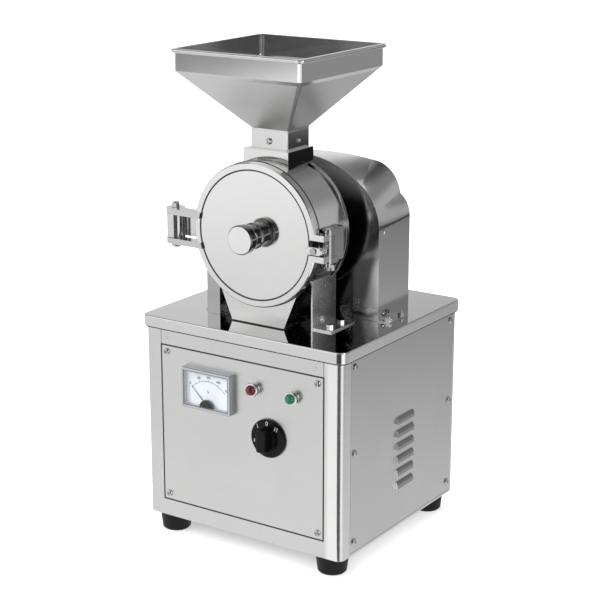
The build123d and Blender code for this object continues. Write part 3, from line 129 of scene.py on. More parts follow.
def map_range(tree, value, start, end, low=0.0, high=1.0, x=0, y=0, smooth=False):
    """A number that goes from low to high while value goes from start to end."""
    kind = "SMOOTHSTEP" if smooth else "LINEAR"
    node = add(tree, "ShaderNodeMapRange", x, y, interpolation_type=kind, Value=value)
    wire(tree, node, {"From Min": start, "From Max": end, "To Min": low, "To Max": high})
    return node.outputs[0]


def mix(tree, factor, first, second, x=0, y=0, blend="MIX"):
    """A mix of two colours."""
    node = add(tree, "ShaderNodeMixRGB", x, y, blend_type=blend)
    for socket, value in zip(node.inputs, (factor, first, second)):
        feed(tree, socket, value)
    return node.outputs[0]


def ramp(tree, source, stops, x=0, y=0):
    """A colour ramp over a number, from (position, grey) stops."""
    node = add(tree, "ShaderNodeValToRGB", x, y)
    feed(tree, node.inputs[0], source)
    points = node.color_ramp.elements
    while len(points) < len(stops):
        points.new(0.5)
    for point, (position, value) in zip(points, stops):
        point.position = position
        point.color = grey(value)
    return node.outputs[0]


print("helpers for ranges and colours")

# %% [markdown]
# Polished steel has hardly any colour of its own, so the room is half of the material. Steel that mirrors
# nothing but white would melt into its background. So mirrored rays see a real room: pale up to the horizon,
# darker above it, bright again overhead, and with walls that are darker in some directions. Two colour ramps
# hold all of this, one over the height of a ray and one over its heading.

# %% The room that the metal mirrors
world = bpy.data.worlds.new("white_room")
scene.world = world
world.use_nodes = True
room = world.node_tree
room.nodes.clear()
ray = add(room, "ShaderNodeTexCoord", -1300, 0).outputs["Generated"]
ray_parts = add(room, "ShaderNodeSeparateXYZ", -1100, 0, Vector=ray).outputs
rise = maths(room, "MULTIPLY_ADD", ray_parts["Z"], 0.5, 0.5, x=-900, y=200)
heights = ramp(room, rise, [(0.0, 0.8), (0.50, 0.9), (0.62, 0.86), (0.66, 0.66), (0.70, 0.50), (0.765, 0.42),
                            (0.80, 0.36), (0.86, 0.14), (0.92, 0.5), (0.96, 0.9), (1.0, 0.9)], -500, 200)
heading = maths(room, "ARCTAN2", ray_parts["X"], ray_parts["Y"], x=-900, y=-100)
turn = maths(room, "MULTIPLY_ADD", heading, 0.5 / pi, 0.5, x=-700, y=-100)
sides = ramp(room, turn, [(0.0, 0.5), (0.12, 0.9), (0.30, 1.0), (0.42, 1.0), (0.45, 0.5), (0.47, 0.45),
                          (0.52, 0.75), (0.58, 0.6), (0.66, 0.5), (0.72, 0.9), (0.82, 1.0), (0.88, 0.3),
                          (0.95, 0.1), (1.0, 0.3)], -500, -100)
mirrored = mix(room, 1.0, heights, sides, -200, 0, "MULTIPLY")
print("room nodes", len(room.nodes))

# %% [markdown]
# A studio also has lamps behind paper. Two soft glows stand for them, a small one behind the mill and a wide
# one at its front left, and the sheets that slant upwards mirror them. The dot product of a ray and the
# direction of a glow is 1 in the middle of the glow and less around it, so a ramp over it gives a soft edge.

# %% Two soft glows
glows = (((0.076, 0.924, 0.375), [(0.0, 0.0), (0.986, 0.0), (0.994, 0.9), (1.0, 0.9)]),
         ((-0.50, -0.77, 0.40), [(0.0, 0.0), (0.72, 0.0), (0.92, 0.7), (1.0, 0.7)]))
for index, (direction, stops) in enumerate(glows, start=1):
    drop = -350 * index
    nearness = vectors(room, "DOT_PRODUCT", ray, direction, x=-900, y=drop)
    mirrored = mix(room, 1.0, mirrored, ramp(room, nearness, stops, -500, drop), -50, drop, "ADD")
print("glows", len(glows))

# %% [markdown]
# The camera sees plain white behind the mill, and so do rays that pass through the meter's window. The light
# that falls on the mill comes from an even grey, so that colours render about as they are written.

# %% What each kind of ray sees of the room
def straight_ray(tree, paths, x, y):
    """1 for a ray that comes straight from the camera, also through a clear part."""
    return maths(tree, "MAXIMUM", paths["Is Camera Ray"], paths["Is Transmission Ray"], x=x, y=y)


SKY_GREY = 0.5
room_paths = add(room, "ShaderNodeLightPath", -500, 500).outputs
unseen = mix(room, room_paths["Is Glossy Ray"], grey(SKY_GREY), mirrored, 0, 100)
room_colour = mix(room, straight_ray(room, room_paths, 0, 400), unseen, grey(1), 250, 100)
room_light = add(room, "ShaderNodeBackground", 450, 100, Color=room_colour, Strength=1.0)
add(room, "ShaderNodeOutputWorld", 650, 100, Surface=room_light.outputs[0])
print("room nodes", len(room.nodes))

# %% [markdown]
# Three large soft lamps give the plain light of a studio: the key from the front left, a weak one from the
# right for the louvred side, and one from above. The metal doesn't mirror the key and the top lamp, because
# their sharp squares would cut through the soft bands of the room.

# %% The lamps
MILL_MIDDLE = Vector((0, 0, 0.3))


def softbox(name, place, size, power, in_mirrors):
    """A rectangular area lamp that looks at the middle of the mill."""
    lamp = bpy.data.lights.new(name, "AREA")
    lamp.shape = "RECTANGLE"
    lamp.size, lamp.size_y = size
    lamp.energy = power
    item = bpy.data.objects.new(name, lamp)
    scene.collection.objects.link(item)
    item.location = place
    item.rotation_euler = (MILL_MIDDLE - Vector(place)).to_track_quat("-Z", "Y").to_euler()
    item.visible_glossy = in_mirrors


softbox("key_softbox", (-1.7, -2.0, 1.5), (1.5, 1.5), 36, False)
softbox("right_softbox", (2.4, -0.4, 1.4), (0.7, 1.4), 10, True)
softbox("top_softbox", (-0.2, 0.5, 2.4), (1.4, 1.4), 30, False)

# %% [markdown]
# The floor is one large flat sheet of white paint. It needs a mesh and a material, and so do the pieces that
# come later. So two helpers come first: one for a material with its shader, one for an object whose mesh is
# built face by face.

# %% The floor
def new_material(name):
    """An empty material with one Principled shader."""
    material = bpy.data.materials.new(name)
    material.use_nodes = True
    tree = material.node_tree
    tree.nodes.clear()
    shader = add(tree, "ShaderNodeBsdfPrincipled", 300, 0)
    add(tree, "ShaderNodeOutputMaterial", 600, 0, Surface=shader.outputs[0])
    return material, tree, shader


def mesh_object(name, build):
    """A new object whose mesh is made by build(bmesh)."""
    mesh = bpy.data.meshes.new(name)
    shape = bmesh.new()
    build(shape)
    bmesh.ops.recalc_face_normals(shape, faces=shape.faces)
    shape.to_mesh(mesh)
    shape.free()
    item = bpy.data.objects.new(name, mesh)
    scene.collection.objects.link(item)
    return item


def flat_sheet(name, outline, height):
    """A flat sheet from the (x, y) corners of its outline."""
    def build(shape):
        shape.faces.new([shape.verts.new((x, y, height)) for x, y in outline])
    return mesh_object(name, build)


HALF = 9.0  # half of the floor's side, in metres
floor = flat_sheet("studio_floor", ((-HALF, -HALF), (HALF, -HALF), (HALF, HALF), (-HALF, HALF)), 0.0)
floor_paint, floor_tree, floor_shader = new_material("white_floor")
floor.data.materials.append(floor_paint)
print("floor faces", len(floor.data.polygons))

# %% [markdown]
# A mirror shows the floor at the place where the reflected ray lands: low parts of the mill mirror the floor
# near its feet, and the hopper mirrors it metres away. So for mirrored rays alone the floor carries rings of
# grey round the mill, like grey paper laid on a studio floor out of view. Each ring's place on its ramp is
# its distance from the mill, as a share of the paper's reach.

# %% The rings of grey paper
PAPER_REACH = 5.0
PER_REACH = 1 / PAPER_REACH
spot = add(floor_tree, "ShaderNodeTexCoord", -1700, -100).outputs["Object"]
flattened = vectors(floor_tree, "MULTIPLY", spot, (PER_REACH, PER_REACH, 0.0), x=-1500)
distance = vectors(floor_tree, "LENGTH", flattened, x=-1300)
front_rings = ramp(floor_tree, distance, [(0.0, 1.0), (0.05, 1.02), (0.22, 0.9), (0.32, 0.98), (0.5, 1.15),
                                          (0.62, 1.1), (0.72, 1.0)], -1000, 200)
back_rings = ramp(floor_tree, distance, [(0.0, 0.84), (0.06, 0.84), (0.19, 0.56), (0.30, 0.36), (0.38, 0.34),
                                         (0.43, 0.03), (0.58, 0.03), (0.66, 0.38), (1.0, 0.38)], -1000, -100)
print("paper nodes", len(floor_tree.nodes))

# %% [markdown]
# The paper in front and the paper behind differ. Far in front lies a sweep from dark at the left to bright at
# the right. Behind the mill the dark rings are on the right only, and the left is one pale grey. Smooth
# ranges over x and y join these parts without an edge that would show in the metal.

# %% The paper in front and behind
spot_parts = add(floor_tree, "ShaderNodeSeparateXYZ", -1300, -300, Vector=spot).outputs
x_place, y_place = spot_parts["X"], spot_parts["Y"]
far = map_range(floor_tree, y_place, -2.5, -3.1, x=-1000, y=-450, smooth=True)
sweep = map_range(floor_tree, x_place, -2.7, -2.1, 0.26, 1.7, x=-1000, y=-750)
front_paper = mix(floor_tree, far, front_rings, sweep, -700, 100)
to_right = map_range(floor_tree, x_place, -0.5, 0.4, x=-1000, y=-1350, smooth=True)
back_paper = mix(floor_tree, to_right, grey(0.8), back_rings, -700, -300)
behind = map_range(floor_tree, y_place, -0.2, 0.02, x=-1000, y=-1050, smooth=True)
paper = mix(floor_tree, behind, front_paper, back_paper, -450, 0)
print("paper nodes", len(floor_tree.nodes))

# %% [markdown]
# A shadow makes the feet stand on something, but a little way off the floor is as white as the background.
# Both follow from how far a place is outside the cabinet's sides, which is negative under the mill: there
# the paint is darkened into a painted shadow, and the light that lifts the floor to white comes up over a
# few centimetres.

# %% How far a place on the floor is from the cabinet's sides
HALF_WIDTH, HALF_DEPTH = 0.15, 0.143
outside = []
for along, half, drop in ((x_place, HALF_WIDTH, -1700), (y_place, HALF_DEPTH, -1900)):
    from_middle = maths(floor_tree, "ABSOLUTE", along, x=-1000, y=drop)
    outside.append(maths(floor_tree, "SUBTRACT", from_middle, half, x=-800, y=drop))
beside = maths(floor_tree, "MAXIMUM", *outside, x=-600, y=-1800)
# painted shadow: the floor's paint is darkened under the mill and for 2 cm round it
painted_floor_shadow = map_range(floor_tree, beside, -0.05, 0.02, 0.3, 1.0, x=-350, y=-1700, smooth=True)
lift = map_range(floor_tree, beside, -0.10, 0.055, 0.12, 1.0, x=-350, y=-2000)
print("floor distance nodes", len(floor_tree.nodes))

# %% [markdown]
# Now each kind of ray gets its own floor. The camera sees the paint with its painted shadow, lifted to white by
# light that the floor seems to give off. Mirrored rays see the paper alone. All other rays see the paint with
# its painted shadow, so the lift throws no light on the mill.

# %% The floor as each kind of ray sees it
FLOOR_GREY = 0.9
floor_paths = add(floor_tree, "ShaderNodeLightPath", -900, 600).outputs
mirror_ray = floor_paths["Is Glossy Ray"]
# the floor's paint, with its painted shadow under the mill
paint = mix(floor_tree, 1.0, grey(FLOOR_GREY), painted_floor_shadow, -350, 300, "MULTIPLY")
own_colour = mix(floor_tree, mirror_ray, paint, grey(0), -150, 300)
paper_glow = mix(floor_tree, mirror_ray, grey(0), paper, -150, 0)
floor_glow = mix(floor_tree, straight_ray(floor_tree, floor_paths, -600, 600), paper_glow, lift, 50, 0)
wire(floor_tree, floor_shader, {"Base Color": own_colour, "Roughness": 0.9, "Specular IOR Level": 0.0,
                                "Emission Color": floor_glow, "Emission Strength": 1.0})
print("floor nodes", len(floor_tree.nodes))

# %% [markdown]
# A studio for steel also has cards around it, out of view. A black one and a white one fan out from the near
# corner: they draw the dark line and the bright one that run down the cabinet's rounded corner.

# %% The cards
CARD_HEIGHT = 0.003


def stage_card(name, outline, glow):
    """A card on the floor, with a grey of its own, that only mirrored rays see."""
    card = flat_sheet(name, outline, CARD_HEIGHT)
    card.visible_camera = card.visible_diffuse = False
    card.visible_shadow = card.visible_transmission = False
    coat, tree, shader = new_material(name + "_paint")
    wire(tree, shader, {"Base Color": grey(0), "Roughness": 1.0, "Specular IOR Level": 0.0,
                        "Emission Color": grey(glow), "Emission Strength": 1.0})
    card.data.materials.append(coat)
    return card


cards = [stage_card("black_card_front", ((0.155, -0.17), (-0.10, -3.04), (2.35, -2.14), (0.19, -0.17)), 0.09),
         stage_card("white_card_right", ((0.18, -0.165), (1.35, -1.0), (1.65, -0.27), (0.19, -0.145)), 1.4)]
print("cards", [card.name for card in cards])

# %% [markdown]
# Every steel finish on this mill is the same metal worked in another way, so the working marks are made once,
# as node groups, and each material sets their size. The first is the grain of the grinding belt. It is noise
# stretched along one direction, the one in which the belt ran. The stretch is how fast the noise changes
# along x, y and z, so its lines run where it is low.

# %% Group: grain of the grinding belt
def new_group(name, inputs, outputs):
    """A shader node group with float or vector sockets."""
    group = bpy.data.node_groups.new(name, "ShaderNodeTree")
    for label, kind, value in inputs:
        socket = group.interface.new_socket(label, in_out="INPUT", socket_type="NodeSocket" + kind)
        socket.default_value = value
    for label, kind in outputs:
        group.interface.new_socket(label, in_out="OUTPUT", socket_type="NodeSocket" + kind)
    enter = add(group, "NodeGroupInput", -900, 0)
    leave = add(group, "NodeGroupOutput", 700, 0)
    return group, enter.outputs, leave


def on_part(tree, output="Object"):
    """The place on the part, or the direction that its surface faces."""
    return add(tree, "ShaderNodeTexCoord", -900, 300).outputs[output]


def swing(tree, noise, amount, x, y):
    """A noise that swings about zero by an amount."""
    centred = maths(tree, "SUBTRACT", noise, 0.5, x=x, y=y)
    return maths(tree, "MULTIPLY", centred, amount, x=x + 250, y=y)


grain, given, leave = new_group("belt_grain", [("Stretch", "Vector", (1, 1, 1)), ("Amount", "Float", 0.1)],
                                [("Grain", "Float"), ("Height", "Float")])
stretched = vectors(grain, "MULTIPLY", on_part(grain), given["Stretch"], x=-650, y=200)
lines = add(grain, "ShaderNodeTexNoise", -400, 300, Vector=stretched, Scale=1.0, Detail=3.0, Roughness=0.6)
wire(grain, leave, {"Grain": swing(grain, lines.outputs["Fac"], given["Amount"], -150, 300),
                    "Height": lines.outputs["Fac"]})
print("group", grain.name, len(grain.nodes))

# %% [markdown]
# Steel that has been handled has large soft clouds, where it is a little duller and a little paler. A slow,
# distorted noise gives them.

# %% Group: handling marks
marks, given, leave = new_group("handling_marks", [("Size", "Float", 14.0), ("Amount", "Float", 0.06)],
                                [("Cloud", "Float"), ("Tint", "Float")])
clouds = add(marks, "ShaderNodeTexNoise", -500, 300, Vector=on_part(marks), Scale=given["Size"], Detail=4.0,
             Roughness=0.55, Distortion=0.6).outputs["Fac"]
wire(marks, leave, {"Cloud": swing(marks, clouds, given["Amount"], -250, 300),
                    "Tint": map_range(marks, clouds, 0.0, 1.0, 0.94, 1.04)})
print("group", marks.name, len(marks.nodes))

# %% [markdown]
# A folded or turned edge is never knife sharp. It could be rounded in the mesh, but a rounded normal is
# enough to catch a thin line of light there, and it costs no faces.

# %% Group: broken edge
edge, given, leave = new_group("broken_edge", [("Radius", "Float", 0.0006)], [("Normal", "Vector")])
rounded = add(edge, "ShaderNodeBevel", -300, 0, samples=4, Radius=given["Radius"])
wire(edge, leave, {"Normal": rounded.outputs[0]})
print("group", edge.name)

# %% [markdown]
# Some parts are worked in two ways: a polished face on a brushed box, or a pressed form in a flat sheet. On
# many parts an area also gets a tone of its own, which paints light or shade there. This mask is 1 beyond a
# plane, on the faces that look one way, and 0 elsewhere. Along and Start give the plane, Soft how gently it
# begins, and Facing and Cosine which faces count.

# %% Group: an area of a part
area, given, leave = new_group("part_area_mask", [("Along", "Vector", (1, 0, 0)), ("Start", "Float", 0.0),
                                               ("Soft", "Float", 0.001), ("Facing", "Vector", (0, 0, 0)),
                                               ("Cosine", "Float", -1.0)], [("Mask", "Float")])
past = vectors(area, "DOT_PRODUCT", on_part(area), given["Along"], x=-650, y=300)
past = maths(area, "SUBTRACT", past, given["Start"], x=-450, y=300)
past = maths(area, "DIVIDE", past, given["Soft"], x=-250, y=300, clamp=True)
way = vectors(area, "DOT_PRODUCT", on_part(area, "Normal"), given["Facing"], x=-650, y=-100)
faces_so = maths(area, "GREATER_THAN", way, given["Cosine"], x=-250, y=-100)
wire(area, leave, {"Mask": maths(area, "MULTIPLY", past, faces_so, x=100, y=100)})
print("group", area.name, len(area.nodes))

# %% [markdown]
# One function makes every steel material from these groups. The Principled shader stays in the material: the
# base colour is the steel, the roughness is how far it was polished, and a bump of a few thousandths of a
# millimetre lays the grain into the surface. An area of a part can have a tone of its own, which mostly paints
# light or shade there, and a roughness of its own.

# %% Steel
def place_group(tree, group, x, y, **values):
    """A group inside a material, with its own values."""
    return wire(tree, add(tree, "ShaderNodeGroup", x, y, node_tree=group), values).outputs


def worked_normal(tree, height, strength, depth, edge_radius):
    """A bump laid over a broken edge."""
    corner = place_group(tree, edge, -300, -400, Radius=edge_radius)["Normal"]
    return add(tree, "ShaderNodeBump", 0, -200, Strength=strength, Distance=depth, Height=height,
               Normal=corner).outputs[0]


def steel_colour(tone):
    """Steel is grey with a trace less blue."""
    return (tone, tone, tone * 0.995, 1)


def steel(name, tone, roughness, stretch, grain_amount, depth=0.00001, cloud=0.06, edge_radius=0.0006,
          areas=()):
    """A worked steel finish. Each area is (mask values, tone, roughness)."""
    material, tree, shader = new_material(name)
    belt = place_group(tree, grain, -900, 200, Stretch=stretch, Amount=grain_amount)
    hands = place_group(tree, marks, -900, -100, Amount=cloud)
    base, rough = steel_colour(tone), roughness
    for index, (where, area_tone, area_rough) in enumerate(areas, start=1):
        mask = place_group(tree, area, -900, 700 + 250 * index, **where)["Mask"]
        base = mix(tree, mask, base, steel_colour(area_tone), -500, 600 + 200 * index)
        rough = map_range(tree, mask, 0.0, 1.0, rough, area_rough, -500, 300 + 200 * index)
    rough = maths(tree, "ADD", belt["Grain"], rough, x=-400, y=100)
    wire(tree, shader, {"Base Color": mix(tree, 1.0, base, hands["Tint"], -100, 300, "MULTIPLY"),
                        "Roughness": maths(tree, "ADD", rough, hands["Cloud"], x=-200, y=100, clamp=True),
                        "Normal": worked_normal(tree, belt["Height"], 0.25, depth, edge_radius),
                        "Metallic": 1.0})
    return material


print("steel is ready")

# %% [markdown]
# The slots of the mill's record say what each part is made of. Most parts take the finish of their slot. The
# grain of a sheet runs upright on the cabinet and the brackets, and turned parts have rings about the y axis.

# %% Steel finishes by slot
UPRIGHT, UPRIGHT_BRACKET = (1200, 1200, 14), (1200, 1200, 20)
TURNED = (60, 1800, 60)
EVEN = (200, 200, 200)
finishes = {
    "cabinet_steel": steel("satin_cabinet_sheet", 0.64, 0.26, UPRIGHT, 0.02, 0.000002, cloud=0.02),
    "panel_steel": steel("fine_satin_panel", 0.64, 0.33, (14, 900, 1600), 0.04, 0.000004),
    "drum_steel": steel("turned_drum_steel", 0.72, 0.11, (30, 1600, 30), 0.08, cloud=0.02),
    "bracket_steel": steel("bracket_sheet", 0.68, 0.14, UPRIGHT_BRACKET, 0.06),
    "turned_steel": steel("machined_steel", 0.66, 0.2, TURNED, 0.10),
    "hard_steel": steel("hardened_steel", 0.42, 0.34, EVEN, 0.12),
    "fixings": steel("plated_fixings", 0.52, 0.13, (400, 400, 400), 0.06, edge_radius=0.0003),
    "bright_chrome": steel("bright_chrome", 0.78, 0.06, EVEN, 0.02, cloud=0.02),
    "pulley_iron": steel("turned_iron", 0.32, 0.38, (60, 1200, 60), 0.12),
}
print("steel finishes", sorted(finishes))

# %% [markdown]
# Some parts need areas. A plane 0.3 mm off the side panel parts the pressed louvres from the flat sheet. The
# hopper's funnel and neck are parted by height, the guard's fold by a slanting plane, and the shank of the
# knob and the side of the throat by the way that the surface faces.

# %% Areas of single parts
right, front, back, up, down = (1, 0, 0), (0, -1, 0), (0, 1, 0), (0, 0, 1), (0, 0, -1)
RIM_FOOT, NECK_TOP = 0.6075, 0.5375  # heights on the hopper
EVERYWHERE = -1.0  # a plane that the whole part is beyond, so that only the facing counts


def part_area(along, start, soft=0.001, facing=(0, 0, 0), cosine=-1.0):
    """The mask values of one area."""
    return {"Along": along, "Start": start, "Soft": soft, "Facing": facing, "Cosine": cosine}


# painted shade on the pressed louvres, and a painted highlight on their front ends
louvre_painted_shade = part_area(right, 0.1503, 0.0006, right, 0.25)
louvre_end_highlight = part_area(right, 0.1501, 0.0004, front, 0.3)
# painted highlight on the front face of the corner post
corner_post_highlight = part_area(right, 0.1252, 0.006, front, 0.8)
# painted shade on the hopper's funnel, and painted light on its faces that look to the front
funnel_painted_shade = part_area(down, -RIM_FOOT)
funnel_front_painted_light = part_area(down, -RIM_FOOT, facing=front, cosine=0.3)
neck = part_area(down, -NECK_TOP)
# painted shade on the lower part of the guard's front plate
guard_low_painted_shade = part_area(down, -0.47, 0.05, front, 0.9)
guard_high = part_area(up, 0.445, 0.04, front, 0.9)
# painted highlight: the guard's front is toned paler along its fold
guard_fold_highlight = part_area((1, 0, -0.226), 0.0227, 0.008, front, 0.9)
# painted reflection: the lid's top is toned darker beside the chute, where it mirrors dark parts
beside_chute_dark_reflection = part_area(right, -0.04, 0.05, up, 0.9)
# painted shade on the right side of the throat
throat_side_shade = part_area(right, EVERYWHERE, facing=right, cosine=0.8)
# painted reflection: the knob's shank is toned dark, as where it mirrors dark things
knob_shank_dark_reflection = part_area(back, EVERYWHERE, facing=back, cosine=-0.8)
print("louvres stand out from x =", louvre_painted_shade["Start"])

# %% [markdown]
# Parts that catch the eye get a finish of their own, and most of their areas paint light or shade. The side
# panel is toned darker than the front sheet as painted shade; its pressed louvres get painted shade and their
# ends a painted highlight. The hopper's funnel is duller than its rim, with painted shade on it and painted
# light on its front faces, and its neck is polished. The guard gets painted shade low down and a painted
# highlight along its fold. On the lid a painted reflection darkens the polish beside the chute, the knob's
# shank is a painted dark reflection, the throat's side gets painted shade, and the corner post's face a painted
# highlight. The left bracket gets a dark tone as painted shade and the right one a pale tone as painted light.

# %% Finishes of single parts
DEEP, FINE = (900, 14, 900), (500, 500, 500)
own_finishes = {
    "cabinet_frame": steel("cabinet_frame_sheet", 0.64, 0.26, UPRIGHT, 0.02, 0.000002, cloud=0.02,
                           areas=[(corner_post_highlight, 0.86, 0.2)]),
    # painted shade: the side panel's sheet is toned darker than the front sheet, for the side that gets less
    # light
    "right_side_panel": steel("louvred_side_sheet", 0.54, 0.28, UPRIGHT, 0.02, 0.000002, cloud=0.02,
                              areas=[(louvre_painted_shade, 0.30, 0.34), (louvre_end_highlight, 0.95, 0.1)]),
    "hopper": steel("hopper_sheet", 0.64, 0.13, DEEP, 0.04, cloud=0.03,
                    areas=[(funnel_painted_shade, 0.50, 0.34), (funnel_front_painted_light, 0.66, 0.34), (neck, 0.60, 0.1)]),
    "belt_guard": steel("guard_sheet", 0.62, 0.15, DEEP, 0.04, cloud=0.03,
                        areas=[(guard_low_painted_shade, 0.28, 0.16), (guard_fold_highlight, 0.66, 0.22)]),
    "door_plate": steel("door_sheet", 0.72, 0.10, FINE, 0.05, cloud=0.04),
    "door_knob": steel("knob_steel", 0.76, 0.12, FINE, 0.05, cloud=0.02, areas=[(knob_shank_dark_reflection, 0.20, 0.05)]),
    "throat_block": steel("throat_steel", 0.66, 0.08, DEEP, 0.04, cloud=0.02,
                          areas=[(throat_side_shade, 0.25, 0.08)]),
    "cabinet_lid": steel("cabinet_lid_sheet", 0.68, 0.06, (14, 900, 900), 0.05, cloud=0.02,
                         areas=[(beside_chute_dark_reflection, 0.46, 0.06)]),
    "hinge_straps": steel("strap_steel", 0.56, 0.12, UPRIGHT_BRACKET, 0.05),
    "hinge_bracket": steel("hinge_block_steel", 0.62, 0.10, UPRIGHT_BRACKET, 0.05),
    "latch_bracket": steel("latch_block_steel", 0.50, 0.12, UPRIGHT_BRACKET, 0.05),
    "swing_bolt": steel("bolt_steel", 0.45, 0.14, TURNED, 0.08),
    # painted shade on the left bracket and painted light on the right one: one bracket sheet in a dark and a
    # pale tone
    "left_bracket": steel("left_bracket_sheet", 0.42, 0.16, UPRIGHT_BRACKET, 0.06),
    "right_bracket": steel("right_bracket_sheet", 0.86, 0.26, UPRIGHT_BRACKET, 0.06),
}
print("own finishes", sorted(own_finishes))

# %% [markdown]
# The upper part of the guard's front plate is brushed by hand, so it scatters a part of the light instead of
# mirroring it. A lower Metallic there gives that.

# %% The brushed part of the guard
guard_tree = own_finishes["belt_guard"].node_tree
brushed = place_group(guard_tree, area, -900, -700, **guard_high)["Mask"]
wire(guard_tree, guard_tree.nodes["Principled BSDF"],
     {"Metallic": map_range(guard_tree, brushed, 0.0, 1.0, 1.0, 0.6, -100, -600)})
print("guard nodes", len(guard_tree.nodes))

# %% [markdown]
# Rubber, moulded plastic and paint are not metal: light goes into them a little and comes back coloured. The
# skin of a moulding has fine pores, which vary the gloss, and settled dust, which varies the shade. Both are
# in one group.

# %% Group: skin of a moulding
skin, given, leave = new_group("moulded_skin", [("Scale", "Float", 900.0), ("Amount", "Float", 0.1)],
                               [("Rough", "Float"), ("Height", "Float"), ("Shade", "Float")])
skin_place = on_part(skin)
pores = add(skin, "ShaderNodeTexNoise", -500, 300, Vector=skin_place, Scale=given["Scale"], Detail=3.0)
dust = add(skin, "ShaderNodeTexNoise", -500, 0, Vector=skin_place, Scale=26.0, Detail=4.0)
wire(skin, leave, {"Rough": maths(skin, "MULTIPLY", pores.outputs["Fac"], given["Amount"], x=-200, y=300),
                   "Height": pores.outputs["Fac"],
                   "Shade": map_range(skin, dust.outputs["Fac"], 0.0, 1.0, 0.88, 1.12, -200, 0)})
print("group", skin.name, len(skin.nodes))

# %% [markdown]
# A moulded finish is a colour and a gloss, both made a little uneven by the skin. Rubber is rough and dark,
# the switch and the meter's cover are nearly black and glossy, and the dial is pale and matt.

# %% Moulded and painted finishes
def skin_over(tree, shader, colour, roughness, **values):
    """Lay the skin over a colour and a roughness; returns the height of its pores."""
    uneven = place_group(tree, skin, -600, 100, **values)
    wire(tree, shader, {"Base Color": mix(tree, 1.0, (*colour, 1), uneven["Shade"], -100, 300, "MULTIPLY"),
                        "Roughness": maths(tree, "ADD", uneven["Rough"], roughness, x=-200, y=100, clamp=True)})
    return uneven["Height"]


def moulded(name, colour, roughness, pore_scale=900.0, depth=0.00004, coat=0.0, shine=0.5):
    """A plastic, rubber or painted finish."""
    material, tree, shader = new_material(name)
    height = skin_over(tree, shader, colour, roughness, Scale=pore_scale)
    wire(tree, shader, {"Normal": worked_normal(tree, height, 0.3, depth, 0.0005), "Coat Weight": coat,
                        "Specular IOR Level": shine})
    return material


finishes.update({
    "foot_rubber": moulded("foot_rubber", (0.007, 0.007, 0.007), 0.5, 500, shine=0.25),
    "belt_rubber": moulded("belt_rubber", (0.02, 0.02, 0.02), 0.7, 700),
    "seal_rubber": moulded("seal_rubber", (0.03, 0.03, 0.03), 0.6, 700),
    "black_moulding": moulded("black_moulding", (0.006, 0.006, 0.007), 0.14, 1400, 0.00001, shine=0.15),
    "switch_moulding": moulded("switch_moulding", (0.05, 0.05, 0.055), 0.45),
    "dial_plate": moulded("dial_plate", (0.88, 0.93, 0.99), 0.45, 1200, 0.000005),
    "needle_black": moulded("needle_black", (0.02, 0.02, 0.02), 0.4),
    "motor_paint": moulded("motor_paint", (0.13, 0.15, 0.18), 0.35, 500),
})
print("finishes", len(finishes))

# %% [markdown]
# The lenses let a little light through, and the meter's window all of it. A clear part in a path tracer
# throws nearly the shadow of a solid one, so the window and the meter's case are made partly transparent for
# shadow rays alone. That keeps the dial behind them bright.

# %% Lenses, window and meter case
def clear(name, colour, roughness, transmission, shade=1.0):
    """A see-through moulding. shade is how much of a shadow it casts."""
    material, tree, shader = new_material(name)
    skin_over(tree, shader, colour, roughness, Scale=60.0, Amount=0.05)
    wire(tree, shader, {"Transmission Weight": transmission, "Coat Weight": 0.4, "IOR": 1.49})
    if shade < 1.0:
        shadow_ray = add(tree, "ShaderNodeLightPath", -600, -300).outputs["Is Shadow Ray"]
        wire(tree, shader, {"Alpha": maths(tree, "MULTIPLY_ADD", shadow_ray, shade - 1.0, 1.0, x=-300, y=-300)})
    return material


finishes.update({
    "red_lens": clear("red_lens_moulding", (0.12, 0.001, 0.006), 0.10, 0.1),
    "green_lens": clear("green_lens_moulding", (0.001, 0.21, 0.10), 0.10, 0.1),
    "clear_window": clear("clear_window_moulding", (0.99, 0.995, 1.0), 0.02, 1.0, shade=0.1),
})
own_finishes["meter_case"] = clear("grey_meter_moulding", (0.24, 0.255, 0.28), 0.2, 0.3, shade=0.6)
print("finishes", len(finishes), len(own_finishes))

# %% [markdown]
# The meter's case is a grey see-through moulding. Looked at from the front it is dark, because one looks into
# it. Its sides get a paler grey as painted light. The area mask tells the two apart.

# %% Painted light on the sides of the meter case
case_tree = own_finishes["meter_case"].node_tree
case_colour = case_tree.nodes["Principled BSDF"].inputs["Base Color"]
case_front = place_group(case_tree, area, -900, -700, **part_area(front, 0.0, facing=front, cosine=0.5))["Mask"]
dark_colour = case_colour.links[0].from_socket
# painted light: faces that don't look to the front get a paler grey
feed(case_tree, case_colour, mix(case_tree, case_front, (0.56, 0.57, 0.585, 1), dark_colour, 100, 300))
print("case nodes", len(case_tree.nodes))

# %% [markdown]
# Now every solid gets its finish: its own one if it has one, and otherwise that of its slot.

# %% A finish on every solid
slot_of = {entry["node"]: entry["material_slot"] for entry in frame["record"]["subparts"]}
for name, item in nodes.items():
    item.data.materials.clear()
    item.data.materials.append(own_finishes.get(name) or finishes[slot_of[name]])
print("dressed", len(nodes))

# %% [markdown]
# What is printed on a scale, pressed into a seam or rolled into an edge is too fine for the solids. It is
# built here as thin pieces that sit on the part that carries them. Each takes its place from that part's box.

# %% Helpers for fine pieces
MM = 0.001


def dress(item, body, slot, paint=None):
    """Give a fine piece its body, and the finish of the given slot or one of its own."""
    item.data.materials.append(paint or finishes[slot])
    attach(item, body)
    return item


def join_rings(shape, rings):
    """Faces from each ring of points to the next one."""
    for first, second in zip(rings, rings[1:]):
        for k in range(len(first)):
            after = (k + 1) % len(first)
            shape.faces.new((first[k], first[after], second[after], second[k]))


def strip(shape, middle, size):
    """A thin straight strip."""
    for vertex in bmesh.ops.create_cube(shape, size=1.0)["verts"]:
        vertex.co = [m + s * c for m, s, c in zip(middle, size, vertex.co)]


